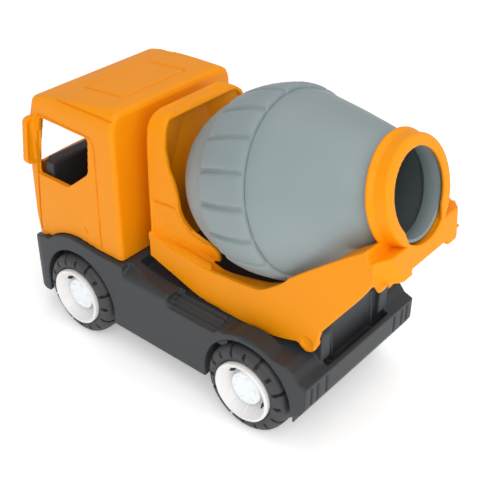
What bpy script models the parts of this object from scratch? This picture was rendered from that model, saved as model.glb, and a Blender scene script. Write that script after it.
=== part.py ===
"""Toy cement mixer lorry: cab, chassis, tipping superstructure, turning drum and four rolling wheels.

Everything is drawn in millimetres in the axle frame: X forward, Y left, Z up, the floor at z = 0 and
x = 0 halfway between the axles. The empty axle_frame then shifts it so that the world origin is the
centre of the footprint.
"""

from math import cos, pi, radians, sin

import bmesh
import bpy
from mathutils import Matrix, Vector

MM = 0.001
GAP = 0.35  # between two pieces that rest on each other

# Driving dimensions, mm
WHEELBASE = 110.0
TYRE_RADIUS = 22.3
RIM_EDGE_RADIUS = 15.06
HUB_RADIUS = 8.2
RIM_FACE_Y = 46.75
TYRE_FACE_Y = 44.4
TYRE_WIDTH = 15.6
AXLE_RADIUS = 2.0

FRONT_X = 94.5
REAR_X = -115.0
CHASSIS_HALF_WIDTH = 42.7
CHASSIS_WALL = 2.4
DECK_Z = 47.1
SILL_Z = 15.6
ARCH_RADIUS = 24.6
CROWN_RADIUS = 28.0

CAB_HALF_WIDTH = 40.0
CAB_WALL = 2.4
CAB_REAR_X = 24.3
CAB_ROOF_Z = 130.0
CAB_ARCH_RADIUS = 33.0
CAB_SKIRT_Z = 54.2
PLINTH_Z = 58.0
CAB_SCREW_X = 29.2
CAB_SCREW_Y = 32.6
CAB_SCREW_Z = 52.5

TRAY_HALF_WIDTH = 31.0
TRAY_WALL = 2.4
WING_INNER_Y = 25.8
WING_OUTER_Y = 28.7
BULKHEAD_X = 15.0
TIP_X = -78.6
TIP_Z = 54.2
TIP_PIN_RADIUS = 1.8
TIP_PIN_INNER_Y = 20.9
TIP_PIN_OUTER_Y = 29.3

DRUM_TILT = radians(16.49)
DRUM_AXIS_Z = 93.12  # where the drum's axis crosses x = 0
DRUM_SPLIT = 56.0
DRUM_MOUTH = 108.65
DRUM_MOUTH_RADIUS = 20.5
DRUM_WALL = 2.0
PIVOT_RADIUS = 3.0

SADDLE_Y = 20.0  # middle of the two cheeks that hold each axle
SADDLE_LENGTH = 18.0
CLIP_BOTTOM_Z = 14.6
CLIP_TOP_Z = 19.5
CLIP_SEAT_Z = 17.0  # where the clip screws' heads bear, inside their counterbores
CLIP_SCREW_X = 6.0  # from the axle
HUB_SEAT_Y = 38.2

WHEEL_STEPS = 32
DRUM_STEPS = 40

AXLE_Z = TYRE_RADIUS
FRONT_AXLE_X = WHEELBASE / 2
REAR_AXLE_X = -WHEELBASE / 2


# ---------------------------------------------------------------- materials


def plastic(name, colour, roughness, metallic=0.0):
    material = bpy.data.materials.new(name)
    material.use_nodes = True
    shader = material.node_tree.nodes["Principled BSDF"]
    shader.inputs["Base Color"].default_value = (*colour, 1.0)
    shader.inputs["Roughness"].default_value = roughness
    shader.inputs["Metallic"].default_value = metallic
    return material


# ---------------------------------------------------------------- shapes


def clear_scene():
    for obj in list(bpy.data.objects):
        bpy.data.objects.remove(obj)


def arc(centre, radius, start, end, steps):
    """Points on a circle from one angle to another, both in degrees and both included."""
    turns = [radians(start + (end - start) * i / steps) for i in range(steps + 1)]
    return [(centre[0] + radius * cos(t), centre[1] + radius * sin(t)) for t in turns]


def rounded(points, radius, steps=3):
    """The closed outline with each corner turned into an arc of about the given radius."""
    result = []
    for i, corner in enumerate(points):
        here = Vector(corner)
        before = Vector(points[i - 1]) - here
        after = Vector(points[(i + 1) % len(points)]) - here
        reach = min(radius, before.length * 0.45, after.length * 0.45)
        start = here + before.normalized() * reach
        end = here + after.normalized() * reach
        for k in range(steps + 1):
            t = k / steps
            point = start * (1 - t) ** 2 + here * 2 * t * (1 - t) + end * t**2
            result.append((point.x, point.y))
    return result


def mirrored(half):
    """An outline from its half at positive first coordinate, listed from one end to the other."""
    return half + [(-u, v) for u, v in reversed(half) if u > 1e-6]


def prism(outline, low, high, along="Y"):
    """A closed solid: the outline in the plane square to `along`, drawn out from low to high."""
    place = {
        "X": lambda u, v, w: (w, u, v),
        "Y": lambda u, v, w: (u, w, v),
        "Z": lambda u, v, w: (u, v, w),
    }[along]
    return loft([[place(u, v, w) for u, v in outline] for w in (low, high)])


def loft(rings, closed=False):
    """Rings of equally many points joined by quads, with flat ends, or closed like a tyre."""
    mesh = bmesh.new()
    loops = [[mesh.verts.new(Vector(p) * MM) for p in ring] for ring in rings]
    pairs = list(zip(loops, loops[1:])) + ([(loops[-1], loops[0])] if closed else [])
    count = len(loops[0])
    for lower, upper in pairs:
        for i in range(count):
            j = (i + 1) % count
            mesh.faces.new((lower[i], lower[j], upper[j], upper[i]))
    if not closed:
        mesh.faces.new(loops[0])
        mesh.faces.new(loops[-1])
    bmesh.ops.recalc_face_normals(mesh, faces=mesh.faces)
    return mesh


def turned(profile, steps, closed=True):
    """A profile of (radius, height) spun about local Z. An open profile starts and ends on the axis."""
    mesh = bmesh.new()
    rows = []
    for radius, height in profile:
        if radius < 1e-6:
            rows.append([mesh.verts.new((0, 0, height * MM))] * steps)
            continue
        ring = arc((0, 0), radius, 0, 360 * (steps - 1) / steps, steps - 1)
        rows.append([mesh.verts.new((x * MM, y * MM, height * MM)) for x, y in ring])
    pairs = list(zip(rows, rows[1:])) + ([(rows[-1], rows[0])] if closed else [])
    for lower, upper in pairs:
        for i in range(steps):
            j = (i + 1) % steps
            corners = []
            for vert in (lower[i], lower[j], upper[j], upper[i]):
                if vert not in corners:
                    corners.append(vert)
            mesh.faces.new(corners)
    bmesh.ops.recalc_face_normals(mesh, faces=mesh.faces)
    return mesh


def box(x, y, z):
    """A block from its low and high corners along each axis."""
    return prism([(x[0], z[0]), (x[1], z[0]), (x[1], z[1]), (x[0], z[1])], y[0], y[1])


def rod(radius, low, high, steps=24):
    """A round bar along local Z."""
    return turned([(0, low), (radius, low), (radius, high), (0, high)], steps, closed=False)


# ---------------------------------------------------------------- placing and joining


def empty(name, location, parent=None, rotation=None):
    holder = bpy.data.objects.new(name, None)
    bpy.context.scene.collection.objects.link(holder)
    holder.parent = parent
    holder.location = Vector(location) * MM
    if rotation:
        holder.rotation_euler = rotation
    return holder


def piece(name, mesh, parent, material=None, at=(0, 0, 0), turn=(0, 0, 0), smooth=30.0):
    """A mesh object, placed in millimetres under its parent."""
    data = bpy.data.meshes.new(name)
    mesh.to_mesh(data)
    mesh.free()
    obj = bpy.data.objects.new(name, data)
    bpy.context.scene.collection.objects.link(obj)
    obj.parent = parent
    obj.location = Vector(at) * MM
    obj.rotation_euler = turn
    if material:
        data.materials.append(material)
    data.shade_smooth()
    data.set_sharp_from_angle(angle=radians(smooth))
    return obj


def combine(target, meshes, operation, holder, turns=None):
    """Adds to, cuts from or keeps part of the target with helper solids that share its frame."""
    for i, mesh in enumerate(meshes):
        turn = turns[i] if turns else (0, 0, 0)
        helper = piece(f"{target.name}_{operation.lower()}_{len(target.modifiers)}", mesh, holder, turn=turn)
        helper.hide_render = True
        helper.display_type = "WIRE"
        modifier = target.modifiers.new(helper.name, "BOOLEAN")
        modifier.operation = operation
        modifier.object = helper
        modifier.solver = "EXACT"


def cut(target, meshes, holder, turns=None):
    combine(target, meshes, "DIFFERENCE", holder, turns)


def add(target, meshes, holder, turns=None):
    combine(target, meshes, "UNION", holder, turns)


def keep(target, meshes, holder, turns=None):
    combine(target, meshes, "INTERSECT", holder, turns)


def both_sides(make, inner, outer):
    """The same solid on the left and on the right, from |y| = inner to |y| = outer."""
    return [make(inner, outer), make(-outer, -inner)]


# ---------------------------------------------------------------- chassis


def cab_edge(lift=0.0):
    """The curve, front to rear, along which the cab's skirt meets the chassis."""
    over_wheel = arc((FRONT_AXLE_X, AXLE_Z), CAB_ARCH_RADIUS + lift, 28, 90, 8)
    return over_wheel + [(46.0, CAB_SKIRT_Z + 1.0 + lift), (40.0, CAB_SKIRT_Z + lift)]


def chassis_side():
    """Side outline of the pan: bumper, sills and tail, up to the deck."""
    return [
        (-87.6, 29.0),
        (-85.3, 24.3),
        (-79.5, 19.6),
        (-31.0, SILL_Z),
        (31.0, SILL_Z),
        (78.5, SILL_Z),
        (80.5, 12.4),
        (88.5, 12.4),
        (92.5, 15.5),
        (94.2, 21.0),
        (FRONT_X, 32.0),
        (93.6, 38.5),
        (90.0, 43.0),
        (86.0, 45.0),
        (80.0, DECK_Z),
        (-76.0, DECK_Z),
        (-80.3, 44.9),
        (-82.9, 41.7),
        (-87.6, 40.0),
    ]


def plan_outline(front_x, rear_x, half_width, bow, corner):
    """Plan view with a bowed front, as half an outline in (y, x) turned into (x, y)."""
    half = [(0.0, front_x)]
    for i in range(1, 5):
        y = (half_width - corner) * i / 4
        half.append((y, front_x - bow * (y / half_width) ** 2))
    edge = half[-1][1]
    half += [(half_width - corner * 0.3, edge - corner * 0.45), (half_width, edge - corner * 1.4)]
    half.append((half_width, rear_x))
    return [(x, y) for y, x in mirrored(half)]


def chassis_pan(frame, material):
    pan = piece("chassis", prism(chassis_side(), -CHASSIS_HALF_WIDTH, CHASSIS_HALF_WIDTH), frame, material)
    front_fender = cab_edge(-GAP) + [(20.0, CAB_SKIRT_Z - GAP), (20.0, 40.0), (84.0, 30.0)]
    plinth = [(26.0, 40.0), (26.0 + GAP + CAB_WALL, PLINTH_Z), (74.0, PLINTH_Z), (84.0, 46.0), (84.0, 40.0)]
    shoulder = [(26.0, 40.0), (26.0, CAB_SKIRT_Z - GAP), (19.0, 51.5), (-4.0, 50.0), (-10.0, 49.6), (-10.0, 40.0)]
    crown = arc((REAR_AXLE_X, AXLE_Z), CROWN_RADIUS, 150, 30, 12) + [(-30.75, 30.0), (-79.25, 30.0)]
    add(pan, [prism(front_fender, -CHASSIS_HALF_WIDTH, CHASSIS_HALF_WIDTH)], frame)
    add(pan, [prism(plinth, -36.8, 36.8)], frame)
    add(pan, both_sides(lambda a, b: prism(shoulder, a, b), TRAY_HALF_WIDTH + 1.3, CHASSIS_HALF_WIDTH), frame)
    add(pan, both_sides(lambda a, b: prism(crown, a, b), TRAY_HALF_WIDTH + 1.3, CHASSIS_HALF_WIDTH), frame)
    keep(pan, [prism(plan_outline(FRONT_X, -90.0, CHASSIS_HALF_WIDTH, 3.4, 7.0), 0.0, 80.0, "Z")], frame)
    hollow = [(-84.5, 5.0), (-84.5, 31.0), (-77.4, 33.6), (-77.4, DECK_Z - 2.4), (18.0, DECK_Z - 2.4), (30.0, 51.0)]
    hollow += [(60.0, 51.0), (80.0, 38.0), (88.0, 34.0), (88.0, 5.0)]
    inside = CHASSIS_HALF_WIDTH - CHASSIS_WALL
    cut(pan, [prism(hollow, -inside, inside)], frame)
    return pan


def wheel_wells(pan, frame):
    for x in (FRONT_AXLE_X, REAR_AXLE_X):
        for radius, inner in ((ARCH_RADIUS - 1.2, 27.0), (ARCH_RADIUS, 33.4)):
            well = arc((x, AXLE_Z), radius, 0, 180, 20) + [(x - radius, 0.0), (x + radius, 0.0)]
            cut(pan, both_sides(lambda a, b: prism(well, a, b), inner, 50.0), frame)


def side_pockets(pan, frame):
    """The recess in each side between the cab and the rear fender, with its louvre slats."""
    backing = [(-5.0, 42.0), (-5.0, DECK_Z), (-43.0, DECK_Z), (-43.0, 42.0)]
    add(pan, both_sides(lambda a, b: prism(backing, a, b), 36.6, 41.0), frame)
    pocket = [(-11.6, 60.0), (-7.0, 49.6), (-8.6, 44.5), (-35.7, 44.5), (-41.0, 60.0)]
    cut(pan, both_sides(lambda a, b: prism(pocket, a, b), 39.4, 50.0), frame)
    for z in (45.2, 46.1):
        slot = [(-12.0, z), (-34.0, z), (-34.0, z + 0.45), (-12.0, z + 0.45)]
        cut(pan, both_sides(lambda a, b: prism(slot, a, b), 38.8, 50.0), frame)


def tail(pan, frame):
    """Trough behind the tail wall, the hinge block on the wall, its ribs and the lamp slots."""
    trough = [(-85.2, 60.0), (-80.0, 60.0), (-80.0, 36.0), (-85.2, 36.0)]
    cut(pan, [prism(trough, -24.0, 24.0)], frame)
    block = [(-80.0, 33.0), (-73.0, 33.0), (-73.0, 57.0), (-80.0, 57.0)]
    add(pan, [prism(block, -20.5, 20.5)], frame)
    lug = arc((TIP_X, TIP_Z), 4.6, 200, -20, 12) + [(TIP_X + 4.6, 42.0), (TIP_X - 4.6, 42.0)]
    add(pan, both_sides(lambda a, b: prism(lug, a, b), 19.0, 26.0), frame)
    rib = [(-82.4, 33.5), (-79.0, 33.5), (-79.0, 56.0), (-80.8, 56.0)]
    add(pan, both_sides(lambda a, b: prism(rib, a, b), 14.7, 16.3), frame)
    bore = arc((TIP_X, TIP_Z), TIP_PIN_RADIUS + 0.3, 0, 345, 23)
    cut(pan, both_sides(lambda a, b: prism(bore, a, b), TIP_PIN_INNER_Y - GAP, 30.0), frame)
    for i in range(6):
        y = 26.2 + 2.3 * i
        slot = [(-90.0, 28.5), (-86.6, 28.5), (-86.6, 38.5), (-90.0, 38.5)]
        cut(pan, both_sides(lambda a, b: prism(slot, a, b), y, y + 1.1), frame)


def clip_screw_places(x):
    """Plan positions of the four screws that hold the clip of the axle at x."""
    return [(x + along, y) for y in (-SADDLE_Y, SADDLE_Y) for along in (-CLIP_SCREW_X, CLIP_SCREW_X)]


def axle_saddles(pan, frame):
    """Two cheeks to each axle, slotted from below, that hang from the deck."""
    for x, top in ((FRONT_AXLE_X, 52.0), (REAR_AXLE_X, DECK_Z - 1.0)):
        reach = SADDLE_LENGTH / 2
        cheek = [(x - reach, CLIP_TOP_Z), (x + reach, CLIP_TOP_Z), (x + reach, top), (x - reach, top)]
        slot = arc((x, AXLE_Z), AXLE_RADIUS + 0.3, 0, 180, 10)
        slot += [(x - AXLE_RADIUS - 0.3, 10.0), (x + AXLE_RADIUS + 0.3, 10.0)]
        add(pan, both_sides(lambda a, b: prism(cheek, a, b), 17.0, 23.0), frame)
        cut(pan, [prism(slot, -24.0, 24.0)], frame)
        for hole in clip_screw_places(x):
            cut(pan, [prism(arc(hole, 1.2, 0, 330, 11), 15.0, 30.0, "Z")], frame)


def cab_channel(pan, frame):
    """The groove behind the bumper that takes the cab's front skirt."""
    groove = piece("skirt_groove", loft(cab_rings(-GAP)), frame)
    groove.hide_render = True
    groove.display_type = "WIRE"
    core = cab_rings(CAB_WALL + GAP)
    core.insert(0, [(x, y, 20.0) for x, y, _ in core[0]])
    above = cab_edge(-GAP) + [(10.0, CAB_SKIRT_Z - GAP), (10.0, 140.0), (110.0, 140.0), (110.0, 33.9), (83.8, 33.9)]
    cut(groove, [loft(core)], frame)
    keep(groove, [prism(above, -60.0, 60.0)], frame)
    modifier = pan.modifiers.new("skirt_groove", "BOOLEAN")
    modifier.object = groove


def cab_screw_holes(pan, frame):
    for y in (-CAB_SCREW_Y, CAB_SCREW_Y):
        cut(pan, [prism(arc((CAB_SCREW_X, y), 1.5, 0, 330, 11), 40.0, 60.0, "Z")], frame)
        cut(pan, [prism(arc((CAB_SCREW_X, y), 2.7, 0, 330, 11), 40.0, CAB_SCREW_Z, "Z")], frame)


def build_chassis(frame, material):
    pan = chassis_pan(frame, material)
    wheel_wells(pan, frame)
    side_pockets(pan, frame)
    tail(pan, frame)
    axle_saddles(pan, frame)
    cab_channel(pan, frame)
    cab_screw_holes(pan, frame)
    return pan


def axle_clip(name, x, frame, material):
    """The keeper plate under an axle, with its screws' heads sunk in counterbores."""
    end_y = SADDLE_Y + 3.0
    reach = SADDLE_LENGTH / 2
    outline = rounded([(x - reach, -end_y), (x + reach, -end_y), (x + reach, end_y), (x - reach, end_y)], 2.0)
    plate = piece(name, prism(outline, CLIP_BOTTOM_Z, CLIP_TOP_Z - GAP, "Z"), frame, material)
    for hole in clip_screw_places(x):
        cut(plate, [prism(arc(hole, 1.4, 0, 330, 11), 10.0, 30.0, "Z")], frame)
        cut(plate, [prism(arc(hole, 2.5, 0, 345, 23), 10.0, CLIP_SEAT_Z, "Z")], frame)
    return plate


def screw(name, at, length, frame, material, turn=(0, 0, 0)):
    """A pan-head screw, head down at local z = 0 and shank up."""
    profile = [(0.0, -1.2), (1.6, -1.2), (2.2, -0.5), (2.2, 0.0), (1.0, 0.0), (1.0, length), (0.0, length)]
    return piece(name, turned(profile, 12, closed=False), frame, material, at, turn)


# ---------------------------------------------------------------- cab

CAB_LEVELS = (  # height, front at the centre, half-width, rounding of the front corners
    (34.3, 89.4, 39.4, 5.0),
    (45.2, 91.4, CAB_HALF_WIDTH, 5.0),
    (56.7, 92.4, CAB_HALF_WIDTH, 4.6),
    (83.6, 91.2, CAB_HALF_WIDTH, 4.0),
    (112.6, 86.6, CAB_HALF_WIDTH, 3.2),
    (122.0, 83.4, 39.8, 3.0),
    (125.4, 80.6, 39.0, 3.0),
    (127.6, 77.8, 37.8, 3.0),
    (129.2, 74.5, 35.9, 3.0),
    (CAB_ROOF_Z, 68.0, 32.5, 3.0),
)
CAB_BOW = 2.8  # how far the front stands proud in the middle


def cab_rings(inset=0.0):
    """Plan sections of the cab from the skirt to the roof."""
    rings = []
    for height, front, half_width, corner in CAB_LEVELS:
        rear = CAB_REAR_X + (0.0 if height < 128.9 else (height - 128.9) * 2.5)
        plan = plan_outline(front - inset, rear + inset, half_width - inset, CAB_BOW, corner)
        rings.append([(x, y, height - (inset if height > 100.0 else -inset)) for x, y in plan])
    return rings


def build_cab_shell(frame, material):
    shell = piece("cab_shell", loft(cab_rings()), frame, material)
    inner = cab_rings(CAB_WALL)
    inner.insert(0, [(x, y, 20.0) for x, y, _ in inner[0]])
    cut(shell, [loft(inner)], frame)
    below = cab_edge() + [(10.0, CAB_SKIRT_Z), (10.0, 10.0), (84.14, 10.0)]
    cut(shell, [prism(below, -50.0, 50.0)], frame)
    window = rounded([(82.5, 83.5), (76.6, 114.2), (40.7, 114.2), (43.1, 95.5), (58.9, 83.5)], 3.0)
    cut(shell, [prism(window, -50.0, 50.0)], frame)
    screen = rounded([(-33.5, 83.5), (33.5, 83.5), (31.0, 116.0), (-31.0, 116.0)], 4.0)
    cut(shell, [prism(screen, 75.0, 110.0, "X")], frame)
    for side in (1, -1):
        mirror = rounded([(side * 38.4, 88.0), (side * 46.6, 90.6), (side * 44.2, 113.4), (side * 38.4, 113.8)], 2.4)
        add(shell, [prism(mirror, 79.4, 82.0, "X")], frame)
    for y in (-CAB_SCREW_Y, CAB_SCREW_Y):
        post = rounded([(25.5, y - 2.6), (32.0, y - 2.6), (32.0, y + 2.6), (25.5, y + 2.6)], 1.0)
        add(shell, [prism(post, PLINTH_Z + GAP, 70.0, "Z")], frame)
        cut(shell, [prism(arc((CAB_SCREW_X, y), 1.3, 0, 330, 11), 50.0, 66.0, "Z")], frame)
    return shell


def build_cab_interior(frame, material):
    """Floor, bench seat and dashboard in one moulding that stands on the chassis."""
    floor_z = PLINTH_Z + GAP
    base = piece("cab_interior", box((33.0, 72.0), (-36.0, 36.0), (floor_z, floor_z + 2.0)), frame, material)
    dash = [(70.6, floor_z + 1.0), (84.5, floor_z + 1.0), (84.5, 80.0), (82.0, 88.5), (77.0, 89.5), (72.8, 87.5),
            (70.6, 80.0)]
    seat = [(33.0, floor_z + 1.0), (54.0, floor_z + 1.0), (55.0, 72.0), (41.0, 73.0), (37.0, 97.0), (33.0, 97.0)]
    add(base, [prism(dash, -31.0, 31.0)], frame)
    add(base, [prism(seat, -30.0, 30.0)], frame)
    return base


# ---------------------------------------------------------------- superstructure


TRAY_LOWER = [(-17.5, 47.8), (-5.0, 52.2), (13.9, 58.2)]
TRAY_UPPER = [(14.4, 71.3), (6.9, 68.1), (-5.8, 67.0), (-18.1, 66.0), (-30.0, 66.9), (-41.7, 67.7), (-50.2, 68.8),
              (-54.1, 70.3), (-63.6, 77.5), (-68.7, 83.1), (-78.5, 91.4), (-92.3, 102.6), (-107.0, 114.0)]


def tray_side():
    """Side outline of a rail: the sill, the hinge ear, the tail that sweeps up, and the top edge."""
    ear = arc((TIP_X, TIP_Z), 4.8, 215, 330, 6)
    tail_edge = [(-108.0, 98.0), (-102.7, 88.5), (-94.2, 76.0), (-85.1, 62.5)]
    sill = [(-73.1, 51.8), (-64.5, 49.2), (-56.0, 47.6), (-29.8, 47.5)]
    return tail_edge + ear + sill + TRAY_LOWER + TRAY_UPPER


def wing_side():
    """Side outline of the wing that joins the bulkhead to the rail."""
    return [(BULKHEAD_X - 0.8, 60.0), (BULKHEAD_X - 0.8, 123.0), (8.3, 124.0), (4.3, 122.0), (3.9, 116.0), (1.7, 107.5),
            (-3.4, 96.4), (-4.8, 89.3), (-9.6, 80.2), (-20.5, 75.0), (-22.0, 64.0), (-5.0, 60.0)]


def bulkhead_front():
    half = [(29.9, 57.0), (29.9, 78.0), (29.4, 94.0), (28.7, 109.0), (28.1, 118.0), (27.5, 123.0), (25.9, 126.6),
            (22.9, 129.0), (19.0, 130.0)]
    return mirrored(half)


def ledge_rings(side):
    """The ledge that slopes inwards from the rail's top edge, section by section."""
    stations = [(13.6, 70.2, 71.4), (-13.0, 66.4, 69.0), (-19.0, 65.9, 64.6), (-34.0, 67.1, 65.4),
                (-46.0, 68.2, 67.2), (-57.0, 72.4, 70.8), (-62.0, 76.2, 73.4)]
    rings = []
    for x, outer_z, inner_z in stations:
        section = [(30.6, outer_z - 0.3), (22.5, inner_z), (22.5, inner_z - 2.2), (29.2, outer_z - 6.0)]
        rings.append([(x, side * y, z) for y, z in section])
    return rings


def chute_plan(half_width, back_x, front_x):
    half = [(0.0, back_x), (20.0, back_x), (half_width - 2.0, -108.2), (half_width, -104.6), (half_width, front_x)]
    return [(x, y) for y, x in mirrored(half)]


def build_tray(holder, material):
    side = TRAY_HALF_WIDTH
    inner = side - TRAY_WALL
    tray = piece("mixer_tray", prism(bulkhead_front(), BULKHEAD_X - TRAY_WALL, BULKHEAD_X, "X"), holder, material,
                 at=(-TIP_X, 0.0, -TIP_Z))
    frame = holder.parent
    add(tray, both_sides(lambda a, b: prism(tray_side(), a, b), inner, side), frame)
    add(tray, both_sides(lambda a, b: prism(wing_side(), a, b), WING_INNER_Y, WING_OUTER_Y), frame)
    add(tray, [loft(ledge_rings(1)), loft(ledge_rings(-1))], frame)
    flange = mirrored([(28.5, 112.0), (28.0, 118.0), (27.4, 123.0), (25.8, 126.5), (22.8, 128.9), (19.0, 129.9)])
    hollow = mirrored([(25.8, 111.0), (25.6, 118.0), (25.0, 122.6), (22.4, 125.8), (18.5, 127.4)])
    top = [[(x, y, z) for y, z in flange] for x in (8.3, BULKHEAD_X - 1.0)]
    add(tray, [loft(top)], frame)
    cut(tray, [prism(hollow, 5.0, BULKHEAD_X - TRAY_WALL, "X")], frame)
    block = piece("chute_block", prism(chute_plan(side, REAR_X, -90.0), 96.5, 112.0, "Z"), frame)
    block.hide_render = True
    block.display_type = "WIRE"
    under_rail_edge = [(-117.1, 90.0), (-111.7, 108.4), (-104.9, 106.5), (-104.9, 112.4), (-90.0, 100.4), (-86.0, 90.0)]
    keep(block, [prism(under_rail_edge, -40.0, 40.0)], frame)
    joint = tray.modifiers.new("chute_block", "BOOLEAN")
    joint.operation = "UNION"
    joint.object = block
    joint.solver = "EXACT"
    below_half = [(inner - 1.5, -80.0), (inner - 1.5, -104.0), (17.5, -111.6)]
    below = prism([(x, y) for y, x in mirrored(below_half)], 90.0, 101.0, "Z")
    notch = prism([(-118.0, 90.0), (-118.0, 98.7), (-108.0, 98.7), (-108.0, 90.0)], -13.6, 13.6)
    behind_flange = prism([(-104.9, 106.5), (-143.3, 117.8), (-131.9, 156.2), (-93.6, 144.8)], -40.0, 40.0)
    cut(tray, [below, notch, behind_flange], frame)
    room = [(radius + 0.9, s) for s, radius in DRUM_CONE[:5]]
    bore = turned([(0.0, DRUM_SPLIT)] + room + [(25.4, 96.0), (25.4, 140.0), (0.0, 140.0)], DRUM_STEPS, closed=False)
    bmesh.ops.transform(bore, matrix=axis_matrix(), verts=bore.verts)
    cut(tray, [bore], frame)
    boss = rod(6.0, -13.6, -1.0)
    bmesh.ops.transform(boss, matrix=axis_matrix(), verts=boss.verts)
    add(tray, [boss], frame)
    hole = rod(PIVOT_RADIUS + 0.3, -20.0, 10.0)
    bmesh.ops.transform(hole, matrix=axis_matrix(), verts=hole.verts)
    cut(tray, [hole], frame)
    for y in (1, -1):
        pad = arc((TIP_X, TIP_Z), 4.4, 0, 345, 23)
        low, high = sorted((y * 26.6, y * (inner + 0.5)))
        add(tray, [prism(pad, low, high)], frame)
        socket = arc((TIP_X, TIP_Z), TIP_PIN_RADIUS + 0.3, 0, 345, 23)
        low, high = sorted((y * 20.0, y * 29.7))
        cut(tray, [prism(socket, low, high)], frame)
    return tray


def axis_matrix():
    """From a solid along local Z to one along the drum's axis, in metres."""
    along = Vector((-cos(DRUM_TILT), 0.0, sin(DRUM_TILT)))
    turn = Vector((0, 0, 1)).rotation_difference(along).to_matrix().to_4x4()
    return Matrix.Translation((0, 0, DRUM_AXIS_Z * MM)) @ turn


def build_collar(holder, material):
    """The ring round the drum's mouth. Its opening runs out downwards into the chute."""
    profile = [(22.3, 102.6), (24.9, 102.3), (24.9, 104.0), (23.3, 105.2), (22.9, 110.6), (22.4, 111.4), (17.8, 111.4),
               (17.8, 109.8), (21.6, 109.8)]
    ring = turned(profile, DRUM_STEPS)
    bmesh.ops.transform(ring, matrix=axis_matrix(), verts=ring.verts)
    collar = piece("drum_collar", ring, holder, material, at=(-TIP_X, 0.0, -TIP_Z))
    return collar


# ---------------------------------------------------------------- drum

DRUM_DOME = [(3.0, 9.0), (5.0, 19.0), (10.0, 28.5), (15.0, 32.4), (20.0, 35.1), (25.0, 36.8), (29.0, 38.2),
             (31.0, 40.3), (36.0, 41.6), (42.0, 42.5), (50.0, 42.9), (55.0, 42.1), (DRUM_SPLIT - GAP, 41.2)]
DRUM_CONE = [(DRUM_SPLIT, 40.6), (60.0, 39.3), (70.0, 35.4), (80.0, 31.5), (90.0, 27.3), (97.0, 24.2),
             (101.0, 21.7), (DRUM_MOUTH, DRUM_MOUTH_RADIUS)]


def drum_shell(name, outer, wall, holder, material, closed_front):
    """One half of the drum, turned, open where it meets the other half."""
    inner = [(s, radius - wall) for s, radius in reversed(outer)]
    if closed_front:
        inner = [(s, radius) for s, radius in inner if s > 5.5]
        inner += [(7.5, PIVOT_RADIUS + 4.0), (7.5, PIVOT_RADIUS + 0.3), (1.5, PIVOT_RADIUS + 0.3), (1.5, 8.0)]
    profile = [(radius, s) for s, radius in outer + inner]
    shell = turned(profile, DRUM_STEPS)
    return piece(name, shell, holder, material)


def build_drum(holder, material):
    drum_shell("drum_front_shell", DRUM_DOME, DRUM_WALL, holder, material, True)
    drum_shell("drum_rear_cone", DRUM_CONE, DRUM_WALL, holder, material, False)


# ---------------------------------------------------------------- wheels


def wheel_profiles():
    """Tyre, rim and hub cap as (radius, distance from the middle of the lorry)."""
    inner_y = TYRE_FACE_Y - TYRE_WIDTH
    bead = RIM_EDGE_RADIUS + 0.1
    tyre = [(bead, inner_y + 1.0), (TYRE_RADIUS - 2.5, inner_y), (TYRE_RADIUS, inner_y + 2.2),
            (TYRE_RADIUS, TYRE_FACE_Y - 2.0), (TYRE_RADIUS - 2.4, TYRE_FACE_Y), (RIM_EDGE_RADIUS + 0.4, TYRE_FACE_Y)]
    rim = [(AXLE_RADIUS + 0.1, inner_y + 0.6), (RIM_EDGE_RADIUS - 0.4, inner_y + 0.6),
           (RIM_EDGE_RADIUS - 0.4, TYRE_FACE_Y - 0.5), (RIM_EDGE_RADIUS, TYRE_FACE_Y), (RIM_EDGE_RADIUS, 46.2),
           (RIM_EDGE_RADIUS - 0.6, RIM_FACE_Y), (RIM_EDGE_RADIUS - 1.6, RIM_FACE_Y), (RIM_EDGE_RADIUS - 2.4, 45.6),
           (12.0, 40.0), (HUB_RADIUS + 0.6, HUB_SEAT_Y), (AXLE_RADIUS + 0.1, HUB_SEAT_Y)]
    seat = HUB_SEAT_Y + GAP
    hub = [(0.0, seat + 1.0), (AXLE_RADIUS + 0.8, seat + 1.0), (AXLE_RADIUS + 0.8, seat), (HUB_RADIUS - 0.4, seat),
           (HUB_RADIUS, 42.5), (HUB_RADIUS - 0.6, 43.1), (0.0, 43.1)]
    return tyre, rim, hub


def build_wheels(end, holder, materials):
    tyre, rim, hub = wheel_profiles()
    for side, sign in (("left", 1), ("right", -1)):
        turn = (-pi / 2 * sign, 0.0, 0.0)
        piece(f"{end}_{side}_tyre", turned(tyre, WHEEL_STEPS), holder, materials["tyre"], turn=turn)
        piece(f"{end}_{side}_rim", turned(rim, WHEEL_STEPS), holder, materials["rim"], turn=turn)
        piece(f"{end}_{side}_hub_cap", turned(hub, 24, closed=False), holder, materials["rim"], turn=turn)
    reach = HUB_SEAT_Y + GAP
    piece(f"{end}_axle", rod(AXLE_RADIUS, -reach, reach, 16), holder, materials["steel"], turn=(pi / 2, 0.0, 0.0))


# ---------------------------------------------------------------- assembly


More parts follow.
